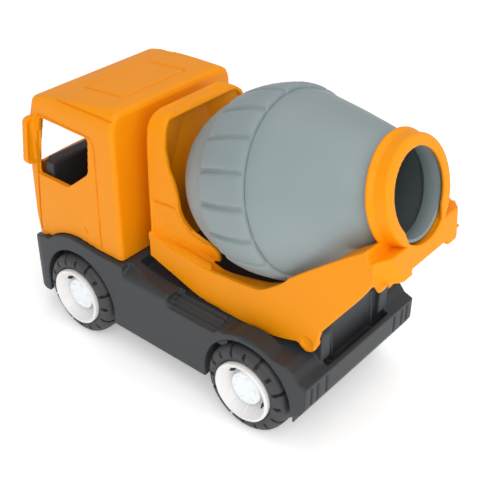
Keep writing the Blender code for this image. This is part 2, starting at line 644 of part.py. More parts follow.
def build_all():
    clear_scene()
    materials = {
        "orange": plastic("orange_plastic", (0.90, 0.29, 0.02), 0.38),
        "grey": plastic("drum_grey_plastic", (0.35, 0.40, 0.41), 0.40),
        "chassis": plastic("chassis_plastic", (0.07, 0.075, 0.085), 0.45),
        "tyre": plastic("tyre_plastic", (0.035, 0.035, 0.04), 0.6),
        "rim": plastic("rim_plastic", (0.75, 0.76, 0.76), 0.35),
        "steel": plastic("steel", (0.55, 0.56, 0.58), 0.3, 1.0),
    }
    frame = empty("axle_frame", (-(FRONT_X + REAR_X) / 2, 0.0, 0.0))
    tip_axis = empty("tip_axis", (TIP_X, 0.0, TIP_Z), frame)
    drum_axis = empty("drum_axis", (0.0, 0.0, DRUM_AXIS_Z), frame, (0.0, DRUM_TILT - pi / 2, 0.0))
    front_line = empty("front_axle_line", (FRONT_AXLE_X, 0.0, AXLE_Z), frame)
    rear_line = empty("rear_axle_line", (REAR_AXLE_X, 0.0, AXLE_Z), frame)

    build_chassis(frame, materials["chassis"])
    build_cab_shell(frame, materials["orange"])
    build_cab_interior(frame, materials["chassis"])
    for end, x in (("front", FRONT_AXLE_X), ("rear", REAR_AXLE_X)):
        axle_clip(f"{end}_axle_clip", x, frame, materials["chassis"])
        for side, y in (("left", SADDLE_Y), ("right", -SADDLE_Y)):
            for place, offset in (("fore", CLIP_SCREW_X), ("aft", -CLIP_SCREW_X)):
                name = f"{end}_clip_screw_{side}_{place}"
                screw(name, (x + offset, y, CLIP_SEAT_Z - GAP), 9.0, frame, materials["steel"])
    for side, y in (("left", CAB_SCREW_Y), ("right", -CAB_SCREW_Y)):
        screw(f"cab_screw_{side}", (CAB_SCREW_X, y, CAB_SCREW_Z - GAP), 12.0, frame, materials["steel"])
    for side, sign in (("left", 1), ("right", -1)):
        stub = rod(TIP_PIN_RADIUS, TIP_PIN_INNER_Y, TIP_PIN_OUTER_Y, 16)
        piece(f"tip_pin_{side}", stub, tip_axis, materials["steel"], turn=(-pi / 2 * sign, 0.0, 0.0))

    build_tray(tip_axis, materials["orange"])
    build_collar(tip_axis, materials["orange"])
    pin = [(0.0, -12.0), (PIVOT_RADIUS, -12.0), (PIVOT_RADIUS, 8.2), (5.5, 8.2), (5.5, 10.0), (4.0, 11.4), (0.0, 11.4)]
    piece("drum_pivot_pin", turned(pin, 20, closed=False), drum_axis, materials["steel"])

    build_drum(drum_axis, materials["grey"])
    build_wheels("front", front_line, materials)
    build_wheels("rear", rear_line, materials)


build_all()
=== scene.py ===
"""Visual model of the toy cement mixer lorry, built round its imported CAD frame.

Shapes are drawn in millimetres in the axle frame: X forward, Y left, Z up, the floor at z = 0 and x = 0
halfway between the axles. SHIFT takes them to the world in metres.
"""

from math import cos, hypot, pi, radians, sin

import bmesh
import bpy
from mathutils import Matrix, Vector


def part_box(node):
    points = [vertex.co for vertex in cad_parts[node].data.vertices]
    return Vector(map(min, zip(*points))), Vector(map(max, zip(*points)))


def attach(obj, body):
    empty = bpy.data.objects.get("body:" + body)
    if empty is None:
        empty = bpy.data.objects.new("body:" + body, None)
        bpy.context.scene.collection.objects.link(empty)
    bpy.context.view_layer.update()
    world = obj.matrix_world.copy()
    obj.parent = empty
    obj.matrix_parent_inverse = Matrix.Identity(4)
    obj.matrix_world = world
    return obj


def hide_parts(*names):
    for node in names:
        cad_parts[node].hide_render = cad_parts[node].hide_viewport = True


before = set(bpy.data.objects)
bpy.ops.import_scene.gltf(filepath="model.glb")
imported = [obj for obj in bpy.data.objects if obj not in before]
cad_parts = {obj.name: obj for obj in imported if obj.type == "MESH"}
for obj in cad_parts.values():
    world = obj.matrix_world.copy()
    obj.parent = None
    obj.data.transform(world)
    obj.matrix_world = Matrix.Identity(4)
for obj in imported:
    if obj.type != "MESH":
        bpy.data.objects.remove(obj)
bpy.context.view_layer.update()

MM = 0.001

# ---------------------------------------------------------------- places taken from the CAD


def middle(node):
    low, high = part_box(node)
    return [(a + b) / 2 for a, b in zip(low, high)]


FRONT_AXLE = middle("front_axle")
REAR_AXLE = middle("rear_axle")
SHIFT = Vector(((FRONT_AXLE[0] + REAR_AXLE[0]) / 2, 0.0, 0.0))
AXLE_X = (FRONT_AXLE[0] - REAR_AXLE[0]) / 2 / MM
AXLE_Z = FRONT_AXLE[2] / MM
TYRE_RADIUS = AXLE_Z

# ---------------------------------------------------------------- driving dimensions, mm

FRONT_X = 94.5
REAR_X = -115.0
CHASSIS_HALF_WIDTH = 42.7
CHASSIS_WALL = 2.4
DECK_Z = 47.1
SILL_Z = 15.6
ARCH_RADIUS = 24.6
CROWN_RADIUS = 28.0
AXLE_HOLE_RADIUS = 2.3
LINER_RADIUS = 26.2  # the walls that close each wheel's well towards the middle
LINER_INNER_Y = 25.5

CAB_HALF_WIDTH = 40.0
CAB_WALL = 2.4
CAB_REAR_X = 24.3
CAB_ARCH_RADIUS = 33.0
CAB_SKIRT_Z = 54.2
PLINTH_Z = 58.0
PLINTH_HALF_WIDTH = 36.8
GAP = 0.35

TRAY_HALF_WIDTH = 31.0
TRAY_WALL = 2.4
FENDER_INNER_Y = TRAY_HALF_WIDTH + 1.3  # the fenders leave room for the frame's rails
BULKHEAD_X = 15.0
BULKHEAD_REAR_X = 11.4
BULKHEAD_HALF_WIDTH = 29.9
BULKHEAD_CORNER = 2.6
TIP_X = -78.6
TIP_Z = 54.2
TIP_HOLE_RADIUS = 2.1

DRUM_TILT = radians(16.49)
DRUM_AXIS_Z = 93.12
DRUM_SPLIT = 56.0
DRUM_MOUTH = 108.65
DRUM_PANELS = 18
MOUTH_FACE = 111.4  # the collar's and the block's rear face, along the drum's axis
BLOCK_FRONT = 104.4
BLOCK_TOP = -17.0  # how far up the block's shoulders reach from the drum's axis

RIM_EDGE_RADIUS = 15.06
HUB_RADIUS = 8.2
TYRE_FACE_Y = 44.4
TYRE_WIDTH = 15.6
RIM_FACE_Y = 46.75
HUB_SEAT_Y = 38.2

VOXEL = 0.5  # of the remeshed mouldings
GROOVE_WIDTH = 1.15
GROOVE_DEPTH = 1.1
CORNER_GROOVE_DEPTH = 2.0  # where the cab's side already curves inwards


# ---------------------------------------------------------------- materials


def moulded_plastic(
    name, colour, roughness, variation=0.05, grain=1500.0, bump=0.12, metallic=0.0, shine=0.5
):
    """Injection-moulded plastic: a faint drift of tone, a fine grain in the gloss and in the surface."""
    material = bpy.data.materials.new(name)
    material.use_nodes = True
    nodes = material.node_tree.nodes
    link = material.node_tree.links.new
    shader = nodes["Principled BSDF"]
    place = nodes.new("ShaderNodeTexCoord")
    broad = nodes.new("ShaderNodeTexNoise")
    broad.inputs["Scale"].default_value = 38.0
    broad.inputs["Detail"].default_value = 3.0
    fine = nodes.new("ShaderNodeTexNoise")
    fine.inputs["Scale"].default_value = grain
    fine.inputs["Detail"].default_value = 4.0
    tone = nodes.new("ShaderNodeMix")
    tone.data_type = "RGBA"
    tone.inputs["A"].default_value = (*[c * (1 - variation) for c in colour], 1.0)
    tone.inputs["B"].default_value = (*[min(1.0, c * (1 + variation)) for c in colour], 1.0)
    gloss = nodes.new("ShaderNodeMapRange")
    gloss.inputs["From Min"].default_value = 0.3
    gloss.inputs["From Max"].default_value = 0.7
    gloss.inputs["To Min"].default_value = roughness - 0.05
    gloss.inputs["To Max"].default_value = roughness + 0.06
    relief = nodes.new("ShaderNodeBump")
    relief.inputs["Strength"].default_value = bump
    relief.inputs["Distance"].default_value = 0.00006
    for texture in (broad, fine):
        link(place.outputs["Object"], texture.inputs["Vector"])
    link(broad.outputs["Fac"], tone.inputs["Factor"])
    link(tone.outputs["Result"], shader.inputs["Base Color"])
    link(fine.outputs["Fac"], gloss.inputs["Value"])
    link(gloss.outputs["Result"], shader.inputs["Roughness"])
    link(fine.outputs["Fac"], relief.inputs["Height"])
    link(relief.outputs["Normal"], shader.inputs["Normal"])
    shader.inputs["Metallic"].default_value = metallic
    shader.inputs["Specular IOR Level"].default_value = shine
    return material


ORANGE = moulded_plastic("orange_moulding", (0.90, 0.300, 0.001), 0.42, shine=0.18)
DRUM_GREY = moulded_plastic("drum_moulding", (0.251, 0.304, 0.313), 0.42, shine=0.4)
CHARCOAL = moulded_plastic("chassis_moulding", (0.033, 0.038, 0.042), 0.48, variation=0.08, shine=0.35)
CAB_BLACK = moulded_plastic("cab_lining", (0.030, 0.033, 0.037), 0.5)
RUBBER = moulded_plastic("tyre_moulding", (0.040, 0.040, 0.044), 0.55, variation=0.12, bump=0.25)
# near black: painted shade for the dark inside of the rims' two vents
PAINTED_VENT_SHADE = moulded_plastic("vent_shadow", (0.006, 0.006, 0.007), 0.6)
RIM_WHITE = moulded_plastic("rim_moulding", (0.84, 0.83, 0.82), 0.36, variation=0.02)
HUB_WHITE = moulded_plastic("hub_moulding", (0.90, 0.94, 0.97), 0.34, variation=0.02)
STEEL = moulded_plastic("drawn_steel", (0.56, 0.57, 0.59), 0.28, metallic=1.0, grain=2600.0)

# ---------------------------------------------------------------- outlines


def arc(centre, radius, start, end, steps):
    """Points on a circle from one angle to another, both in degrees and both included."""
    turns = [radians(start + (end - start) * i / steps) for i in range(steps + 1)]
    return [(centre[0] + radius * cos(t), centre[1] + radius * sin(t)) for t in turns]


def rounded(points, radius, steps=5):
    """The closed outline with each corner turned into a curve of about the given radius."""
    result = []
    for i, corner in enumerate(points):
        here = Vector(corner)
        before = Vector(points[i - 1]) - here
        after = Vector(points[(i + 1) % len(points)]) - here
        start = here + before.normalized() * min(radius, before.length * 0.45)
        end = here + after.normalized() * min(radius, after.length * 0.45)
        for k in range(steps + 1):
            t = k / steps
            point = start * (1 - t) ** 2 + here * 2 * t * (1 - t) + end * t**2
            result.append((point.x, point.y))
    return result


def flowing(points, steps=4):
    """An open curve that passes smoothly through each point."""
    knots = [Vector(p) for p in points]
    knots = [2 * knots[0] - knots[1], *knots, 2 * knots[-1] - knots[-2]]
    result = []
    for a, b, c, d in zip(knots, knots[1:], knots[2:], knots[3:]):
        for k in range(steps):
            t = k / steps
            straight = 2 * b + (c - a) * t
            bent = (2 * a - 5 * b + 4 * c - d) * t**2
            twisted = (3 * b - a - 3 * c + d) * t**3
            result.append(0.5 * (straight + bent + twisted))
    result.append(knots[-2])
    return [tuple(point) for point in result]


def rectangle(low_u, high_u, low_v, high_v):
    return [(low_u, low_v), (high_u, low_v), (high_u, high_v), (low_u, high_v)]


def mirrored(half):
    """An outline from its half at positive first coordinate, listed from one end to the other."""
    return half + [(-u, v) for u, v in reversed(half) if u > 1e-6]


def band(points, width, closed=False):
    """The outline of a strip of the given width along a line, or the two loops of a closed one."""
    line = [Vector(p) for p in points]
    sides = ([], [])
    for i, here in enumerate(line):
        ahead = line[(i + 1) % len(line)] if closed or i + 1 < len(line) else here
        behind = line[i - 1] if closed or i > 0 else here
        along = (ahead - behind).normalized()
        across = Vector((-along.y, along.x)) * width / 2
        sides[0].append(tuple(here + across))
        sides[1].append(tuple(here - across))
    if closed:
        return sides
    return sides[0] + sides[1][::-1]


# ---------------------------------------------------------------- solids


def loft(rings):
    """Rings of equally many points, in millimetres, joined by quads and closed with flat ends."""
    mesh = bmesh.new()
    loops = [[mesh.verts.new(Vector(p) * MM + SHIFT) for p in ring] for ring in rings]
    count = len(loops[0])
    for lower, upper in zip(loops, loops[1:]):
        for i in range(count):
            j = (i + 1) % count
            mesh.faces.new((lower[i], lower[j], upper[j], upper[i]))
    mesh.faces.new(loops[0])
    mesh.faces.new(loops[-1])
    bmesh.ops.recalc_face_normals(mesh, faces=mesh.faces)
    return mesh


def prism(outline, low, high, along="Y"):
    """A closed solid: the outline in the plane square to `along`, drawn out from low to high."""
    place = {
        "X": lambda u, v, w: (w, u, v),
        "Y": lambda u, v, w: (u, w, v),
        "Z": lambda u, v, w: (u, v, w),
    }[along]
    return loft([[place(u, v, w) for u, v in outline] for w in (low, high)])


def pair(outline, inner, outer):
    """The same solid on the left and on the right, from |y| = inner to |y| = outer."""
    return [prism(outline, inner, outer), prism(outline, -outer, -inner)]


def spun(profile, angles, dent=None, closed=True):
    """A profile of (radius, height) spun about local Z, in metres. `dent` sinks points into the surface."""
    mesh = bmesh.new()
    count = len(profile)
    rows = []
    for i, (radius, height) in enumerate(profile):
        if radius < 1e-6:
            rows.append([mesh.verts.new((0, 0, height * MM))] * len(angles))
            continue
        before = profile[i - 1] if closed or i > 0 else profile[i]
        after = profile[(i + 1) % count] if closed or i + 1 < count else profile[i]
        run = Vector((after[0] - before[0], after[1] - before[1])).normalized()
        row = []
        for angle in angles:
            depth = dent(radius, height, angle, i) if dent else 0.0
            r = radius - depth * run.y
            h = height + depth * run.x
            t = radians(angle)
            row.append(mesh.verts.new((r * cos(t) * MM, r * sin(t) * MM, h * MM)))
        rows.append(row)
    pairs = list(zip(rows, rows[1:])) + ([(rows[-1], rows[0])] if closed else [])
    for lower, upper in pairs:
        for i in range(len(angles)):
            j = (i + 1) % len(angles)
            corners = []
            for vert in (lower[i], lower[j], upper[j], upper[i]):
                if vert not in corners:
                    corners.append(vert)
            if len(corners) > 2:
                mesh.faces.new(corners)
    bmesh.ops.recalc_face_normals(mesh, faces=mesh.faces)
    return mesh


def even(steps):
    return [360.0 * i / steps for i in range(steps)]


def drum_matrix():
    """From a solid along local Z to one along the drum's axis."""
    along = Vector((-cos(DRUM_TILT), 0.0, sin(DRUM_TILT)))
    turn = Vector((0, 0, 1)).rotation_difference(along).to_matrix().to_4x4()
    return Matrix.Translation(SHIFT + Vector((0, 0, DRUM_AXIS_Z * MM))) @ turn


def in_drum(s, u):
    """The place (x, z) at s along the drum's axis and u up across it, in the upright middle plane."""
    return (u * sin(DRUM_TILT) - s * cos(DRUM_TILT), DRUM_AXIS_Z + s * sin(DRUM_TILT) + u * cos(DRUM_TILT))


def wheel_matrix(x, side):
    """From a solid along local Z to one along the axle, outwards on its side."""
    return Matrix.Translation(SHIFT + Vector((x, 0, AXLE_Z)) * MM) @ Matrix.Rotation(-pi / 2 * side, 4, "X")


def placed(mesh, matrix):
    mesh.transform(matrix)
    return mesh


# ---------------------------------------------------------------- pieces


def finish(obj, body, nodes, material, angle=35.0):
    """Gives an object its material, smooth shading and body, and hides the CAD nodes that it stands for."""
    if material:
        obj.data.materials.clear()
        obj.data.materials.append(material)
    obj.data.shade_smooth()
    if angle:
        obj.data.set_sharp_from_angle(angle=radians(angle))
    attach(obj, body)
    if nodes:
        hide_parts(*nodes)
    return obj


def as_object(name, mesh):
    data = bpy.data.meshes.new(name)
    mesh.to_mesh(data)
    mesh.free()
    obj = bpy.data.objects.new(name, data)
    bpy.context.scene.collection.objects.link(obj)
    return obj


def settled(obj):
    """Replaces an object's mesh by what its modifiers make of it."""
    graph = bpy.context.evaluated_depsgraph_get()
    data = bpy.data.meshes.new_from_object(obj.evaluated_get(graph))
    old = obj.data
    obj.modifiers.clear()
    obj.data = data
    bpy.data.meshes.remove(old)


class Moulding:
    """A solid made by adding and cutting others, then remeshed finely, which rounds its edges softly."""

    def __init__(self, name, base):
        self.obj = as_object(name, base)
        self.helpers = []

    def _join(self, operation, meshes):
        for mesh in meshes:
            helper = as_object(f"{self.obj.name}_helper_{len(self.helpers)}", mesh)
            self.helpers.append(helper)
            modifier = self.obj.modifiers.new(helper.name, "BOOLEAN")
            modifier.operation = operation
            modifier.object = helper
            modifier.solver = "MANIFOLD"

    def add(self, *meshes):
        self._join("UNION", meshes)

    def cut(self, *meshes):
        self._join("DIFFERENCE", meshes)

    def keep(self, *meshes):
        self._join("INTERSECT", meshes)

    def joined(self):
        settled(self.obj)
        for helper in self.helpers:
            bpy.data.objects.remove(helper)
        return self.obj

    def softened(self, voxel=VOXEL, passes=4, share=0.35):
        """Remeshed at the voxel's size in mm, smoothed, and thinned to a share of its faces."""
        self.joined()
        remesh = self.obj.modifiers.new("remesh", "REMESH")
        remesh.mode = "VOXEL"
        remesh.voxel_size = voxel * MM
        remesh.adaptivity = 0.0
        smooth = self.obj.modifiers.new("smooth", "SMOOTH")
        smooth.factor = 0.5
        smooth.iterations = passes
        thin = self.obj.modifiers.new("thin", "DECIMATE")
        thin.ratio = share
        settled(self.obj)
        print(self.obj.name, len(self.obj.data.polygons), "faces")
        return self.obj


# ---------------------------------------------------------------- chassis


def cab_edge(lift=0.0):
    """The curve, front to rear, along which the cab's skirt meets the chassis."""
    over_wheel = arc((AXLE_X, AXLE_Z), CAB_ARCH_RADIUS + lift, 28, 90, 20)
    sweep = flowing(
        [
            over_wheel[-1], (50.5, CAB_SKIRT_Z + 0.9 + lift), (46.0, CAB_SKIRT_Z + 0.4 + lift),
            (40.0, CAB_SKIRT_Z + lift),
        ],
    )
    return over_wheel + sweep[1:]


def chassis_side():
    """Side outline of the pan: bumper, sills and tail, up to the deck."""
    return [
        (-87.6, 29.0),
        (-85.3, 24.3),
        (-79.5, 19.6),
        (-31.0, SILL_Z),
        (31.0, SILL_Z),
        (78.5, SILL_Z),
        (80.5, 12.4),
        (88.5, 12.4),
        (92.5, 15.5),
        (94.2, 21.0),
        (FRONT_X, 32.0),
        (93.6, 38.5),
        (90.0, 43.0),
        (86.0, 45.0),
        (80.0, DECK_Z),
        (-76.0, DECK_Z),
        (-80.3, 44.9),
        (-82.9, 41.7),
        (-87.6, 40.0),
    ]


def bowed_plan(front_x, rear_x, half_width, bow, corner, rear_corner=0.0):
    """Plan view with a bowed front and rounded corners, as an outline in (x, y)."""
    half = []
    for i in range(9):
        y = (half_width - corner) * i / 8
        half.append((y, front_x - bow * (y / half_width) ** 2))
    start = Vector(half[-1])
    bend = Vector((half_width, start.y - corner * 0.35))
    end = Vector((half_width, start.y - corner * 1.4))
    for k in range(1, 9):
        t = k / 8
        half.append(tuple(start * (1 - t) ** 2 + bend * 2 * t * (1 - t) + end * t**2))
    if rear_corner:
        rear = arc((rear_x + rear_corner, half_width - rear_corner), rear_corner, 90, 180, 6)
        half += [(y, x) for x, y in rear]
        half.append((0.0, rear_x))
    else:
        half.append((half_width, rear_x))
    return [(x, y) for y, x in mirrored(half)]


def shaved_edge(low_x, high_x, top, radius):
    """Cutters that round the outer top edge of the chassis between two places along it."""
    outer = CHASSIS_HALF_WIDTH
    curve = arc((outer - radius, top - radius), radius, 0, 90, 8)
    outline = [(outer + 2.0, top - radius), *curve, (outer - radius, top + 12.0), (outer + 2.0, top + 12.0)]
    return [prism([(side * y, z) for y, z in outline], low_x, high_x, "X") for side in (1, -1)]


def build_chassis():
    inside = CHASSIS_HALF_WIDTH - CHASSIS_WALL
    pan = Moulding("chassis_moulding", prism(chassis_side(), -CHASSIS_HALF_WIDTH, CHASSIS_HALF_WIDTH))
    front_fender = cab_edge(-GAP) + [(20.0, CAB_SKIRT_Z - GAP), (20.0, 40.0), (84.0, 30.0)]
    plinth = [(26.0, 40.0), (29.0, PLINTH_Z), (74.0, PLINTH_Z), (84.0, 46.0), (84.0, 40.0)]
    shoulder = [
        (26.0, 40.0), (26.0, CAB_SKIRT_Z - GAP),
        *flowing([(19.0, 53.0), (8.0, 51.0), (-4.0, 50.2), (-10.0, 50.0)]), (-10.0, 40.0),
    ]
    crown = arc((-AXLE_X, AXLE_Z), CROWN_RADIUS, 150, 30, 24) + [(-30.75, 30.0), (-79.25, 30.0)]
    pan.add(prism(front_fender, -CHASSIS_HALF_WIDTH, CHASSIS_HALF_WIDTH))
    pan.add(prism(plinth, -PLINTH_HALF_WIDTH, PLINTH_HALF_WIDTH))
    pan.add(*pair(shoulder, FENDER_INNER_Y, CHASSIS_HALF_WIDTH))
    pan.add(*pair(crown, FENDER_INNER_Y, CHASSIS_HALF_WIDTH))
    pan.keep(prism(bowed_plan(FRONT_X, -90.0, CHASSIS_HALF_WIDTH, 3.4, 7.0), 0.0, 80.0, "Z"))
    pan.cut(*shaved_edge(-12.0, 22.0, 51.5, 5.0))
    pan.cut(*shaved_edge(-92.0, -30.0, 50.6, 2.2))
    hollow = [
        (-84.5, 5.0), (-84.5, 31.0), (-77.4, 33.6), (-77.4, DECK_Z - 2.4), (18.0, DECK_Z - 2.4),
        (30.0, 51.0),
    ]
    hollow += [(60.0, 51.0), (80.0, 38.0), (88.0, 34.0), (88.0, 5.0)]
    pan.cut(prism(hollow, -inside, inside))
    for x in (AXLE_X, -AXLE_X):
        liner = [(u, min(v, DECK_Z - 0.2)) for u, v in arc((x, AXLE_Z), LINER_RADIUS, -14.0, 194.0, 48)]
        pan.add(*pair(liner, LINER_INNER_Y, inside + 0.5))
        for radius, inner in ((ARCH_RADIUS - 1.2, 27.0), (ARCH_RADIUS, 33.4)):
            well = arc((x, AXLE_Z), radius, 0, 180, 48) + [(x - radius, 0.0), (x + radius, 0.0)]
            pan.cut(*pair(well, inner, 50.0))
    chassis_pockets(pan)
    chassis_tail(pan)
    chassis_saddles(pan)
    chassis_front(pan)
    finish(pan.softened(), "truck", ["chassis"], CHARCOAL, angle=None)


def chassis_pockets(pan):
    """The recess in each side between the cab and the rear fender, with its rising stack of louvres."""
    pan.add(*pair([(-5.0, 38.0), (-5.0, 44.5), (-43.0, 44.5), (-43.0, 38.0)], 30.0, 41.0))
    front = flowing([(-9.0, 54.0), (-7.0, 49.6), (-7.2, 46.6), (-8.6, 44.5)])
    pocket = [(-11.6, 60.0), *front, (-35.7, 44.5), (-38.0, 46.0), (-41.4, 60.0)]
    pan.cut(*pair(pocket, 32.6, 50.0))
    for y, top in ((40.4, 45.6), (38.2, 46.6), (36.0, 47.6), (33.8, 48.6)):
        louvre = [(-8.0, 42.0), (-8.0, top), (-37.0, top), (-37.0, 42.0)]
        pan.add(*pair(louvre, y - 0.6, y + 0.6))


def chassis_tail(pan):
    """Trough behind the tail wall, the hinge block on the wall, its ribs and the lamp slots."""
    pan.cut(prism(rectangle(-85.2, -80.0, 60.0, 36.0), -24.0, 24.0))
    pan.add(prism(rectangle(-80.0, -73.0, 33.0, 57.0), -20.5, 20.5))
    lug = arc((TIP_X, TIP_Z), 4.6, 200, -20, 20) + [(TIP_X + 4.6, 42.0), (TIP_X - 4.6, 42.0)]
    pan.add(*pair(lug, 19.0, 26.0))
    pan.add(*pair([(-82.4, 33.5), (-79.0, 33.5), (-79.0, 56.0), (-80.8, 56.0)], 14.7, 16.3))
    pan.cut(*pair(arc((TIP_X, TIP_Z), TIP_HOLE_RADIUS, 0, 345, 23), 20.55, 30.0))
    for i in range(6):
        y = 26.4 + 2.2 * i
        slot = rounded(rectangle(-90.0, -86.3, 28.5, 38.5), 0.3, 2)
        pan.cut(*pair(slot, y, y + 1.1))


def chassis_saddles(pan):
    """Two cheeks to each axle, slotted from below, that hang from the deck."""
    for x, top in ((AXLE_X, 52.0), (-AXLE_X, DECK_Z - 1.0)):
        pan.add(*pair(rectangle(x - 9.0, x + 9.0, 19.5, top), 17.0, 23.0))
        slot = arc((x, AXLE_Z), AXLE_HOLE_RADIUS, 0, 180, 12)
        slot += [(x - AXLE_HOLE_RADIUS, 10.0), (x + AXLE_HOLE_RADIUS, 10.0)]
        pan.cut(prism(slot, -30.0, 30.0))


def chassis_front(pan):
    """Headlamp recesses and the intake slots of the front bumper."""
    for side in (1, -1):
        lamp = rounded(rectangle(side * 24.0, side * 36.0, 29.0, 38.0), 2.0)
        pan.cut(prism(lamp, 90.4, 100.0, "X"))
    for z in (19.5, 23.0, 26.5):
        slot = rounded(rectangle(-16.0, 16.0, z, z + 1.6), 0.7)
        pan.cut(prism(slot, 92.6, 100.0, "X"))


# ---------------------------------------------------------------- cab

CAB_LEVELS = (  # height, front at the centre, half-width, rounding of the front corners
    (34.3, 89.4, 39.4, 5.0),
    (45.2, 91.4, CAB_HALF_WIDTH, 5.0),
    (56.7, 92.4, CAB_HALF_WIDTH, 4.6),
    (83.6, 91.2, CAB_HALF_WIDTH, 4.0),
    (112.6, 86.6, CAB_HALF_WIDTH, 3.2),
    (122.0, 83.4, 39.8, 3.0),
    (125.4, 80.6, 39.0, 3.0),
    (127.6, 77.8, 37.8, 3.0),
    (129.2, 74.5, 35.9, 3.0),
    (130.0, 68.0, 32.5, 3.0),
)
ROOF_LINE = [
    (20.0, 130.3), (30.0, 130.1), (45.0, 128.7), (60.0, 127.3), (70.0, 126.0), (78.0, 124.4),
    (82.5, 122.0), (85.0, 119.0), (90.0, 110.0),
]
INNER_LEVELS = 6  # the room inside stops well under the roof


def cab_rings(inset=0.0):
    """Plan sections of the cab from the skirt to the roof, or of the room inside it."""
    rings = []
    for height, front, half_width, corner in CAB_LEVELS[:INNER_LEVELS] if inset else CAB_LEVELS:
        rear = CAB_REAR_X + max(0.0, height - 128.6) * 1.5
        plan = bowed_plan(front - inset, rear + inset, half_width - inset, 2.8, corner, 2.2)
        rings.append([(x, y, height - (inset if height > 100.0 else -inset)) for x, y in plan])
    return rings


def groove(points, low, high, along="Y", width=GROOVE_WIDTH):
    return prism(band(points, width), low, high, along)


def ring_groove(points, low, high, along, above, width=GROOVE_WIDTH):
    """Two nested prisms, the wide one less the narrow one, above a floor: a closed groove's cutter."""
    inner, outer = band(points, width, closed=True)
    cutter = Moulding("groove_cutter", prism(outer, low, high, along))
    cutter.cut(prism(inner, low - 1.0, high + 1.0, along))
    cutter.keep(above)
    joined = cutter.joined()
    mesh = bmesh.new()
    mesh.from_mesh(joined.data)
    bpy.data.objects.remove(joined)
    return mesh


def build_cab():
    shell = Moulding("cab_moulding", loft(cab_rings()))
    shell.keep(prism([*ROOF_LINE, (110.0, 100.0), (110.0, 10.0), (20.0, 10.0)], -60.0, 60.0))
    inner = cab_rings(CAB_WALL)
    inner.insert(0, [(x, y, 20.0) for x, y, _ in inner[0]])
    shell.cut(loft(inner))
    shell.cut(prism(cab_edge() + [(10.0, CAB_SKIRT_Z), (10.0, 10.0), (84.14, 10.0)], -50.0, 50.0))
    window = rounded([(81.2, 82.4), (75.4, 114.6), (41.0, 114.2), (43.1, 95.2), (58.9, 82.4)], 2.6)
    shell.cut(prism(window, -50.0, 50.0))
    screen = rounded([(-33.5, 83.5), (33.5, 83.5), (31.0, 116.0), (-31.0, 116.0)], 4.0)
    shell.cut(prism(screen, 75.0, 110.0, "X"))
    door_seams(shell)
    roof_lines(shell)
    mirrors(shell)
    cab_front(shell)
    shell_obj = shell.softened(voxel=0.4, passes=2, share=0.3)
    finish(shell_obj, "truck", ["cab_shell"], ORANGE, angle=None)


def door_seams(shell):
    """The grooves round each door, and the small tick low on it."""
    door_rear = flowing(
        [
            (77.2, 113.6), (74.6, 115.8), (60.0, 115.6), (41.5, 115.2), (39.0, 114.0), (37.7, 110.9),
            (37.5, 104.8), (38.2, 78.0), (38.4, 55.2),
        ],
        5,
    )
    door_front = flowing([(77.2, 107.0), (80.4, 88.0), (82.2, 72.1), (84.0, 55.0), (84.4, 47.4)], 4)
    door_foot = [(83.4, 47.6), (75.9, 47.5)]
    tick = [(49.8, 63.2), (47.6, 60.6)]
    seams = (
        (door_rear, GROOVE_DEPTH),
        (door_front, CORNER_GROOVE_DEPTH),
        (door_foot, GROOVE_DEPTH),
        (tick, GROOVE_DEPTH),
    )
    for line, depth in seams:
        for side in (1, -1):
            low, high = sorted((side * (CAB_HALF_WIDTH - depth), side * 44.0))
            shell.cut(groove(line, low, high))


def roof_lines(shell):
    """The hatch's groove, and two creases along each side of the roof."""
    hatch = rounded(rectangle(36.0, 63.5, -20.8, 20.8), 3.0)
    groove_floor = [(x, z - GROOVE_DEPTH) for x, z in ROOF_LINE[:6]] + [(78.0, 140.0), (20.0, 140.0)]
    shell.cut(ring_groove(hatch, 120.0, 134.0, "Z", prism(groove_floor, -40.0, 40.0)))
    for side in (1, -1):
        for y, z, front in ((38.3, 126.7, 76.0), (35.9, 129.2, 71.0)):
            slot = [(y - 0.85, z - 0.35), (y - 0.35, z - 0.85), (y + 3.0, z + 2.6), (y + 2.4, z + 3.2)]
            shell.cut(prism([(side * v, w) for v, w in slot], 22.0, front, "X"))


def mirrors(shell):
    """The mirrors, moulded in one with the cab, each with a sunk glass."""
    for side in (1, -1):
        outline = [(38.6, 88.0), (46.9, 90.6), (44.2, 113.6), (38.6, 113.8)]
        mirror = rounded([(side * y, z) for y, z in outline], 2.6)
        shell.add(prism(mirror, 79.2, 82.4, "X"))
        glass = [(41.2, 91.0), (45.4, 92.6), (43.2, 111.8), (41.2, 111.8)]
        sunk = rounded([(side * y, z) for y, z in glass], 1.6)
        shell.cut(prism(sunk, 78.0, 79.7, "X"))


def cab_front(shell):
    """Grille slots and lamp recesses."""
    for z in (62.0, 66.5, 71.0):
        slot = rounded(rectangle(-20.0, 20.0, z, z + 2.0), 0.9)
        shell.cut(prism(slot, 91.3, 100.0, "X"))
    for side in (1, -1):
        lamp = rounded(rectangle(side * 19.0, side * 31.0, 44.0, 52.0), 2.5)
        shell.cut(prism(lamp, 89.6, 100.0, "X"))


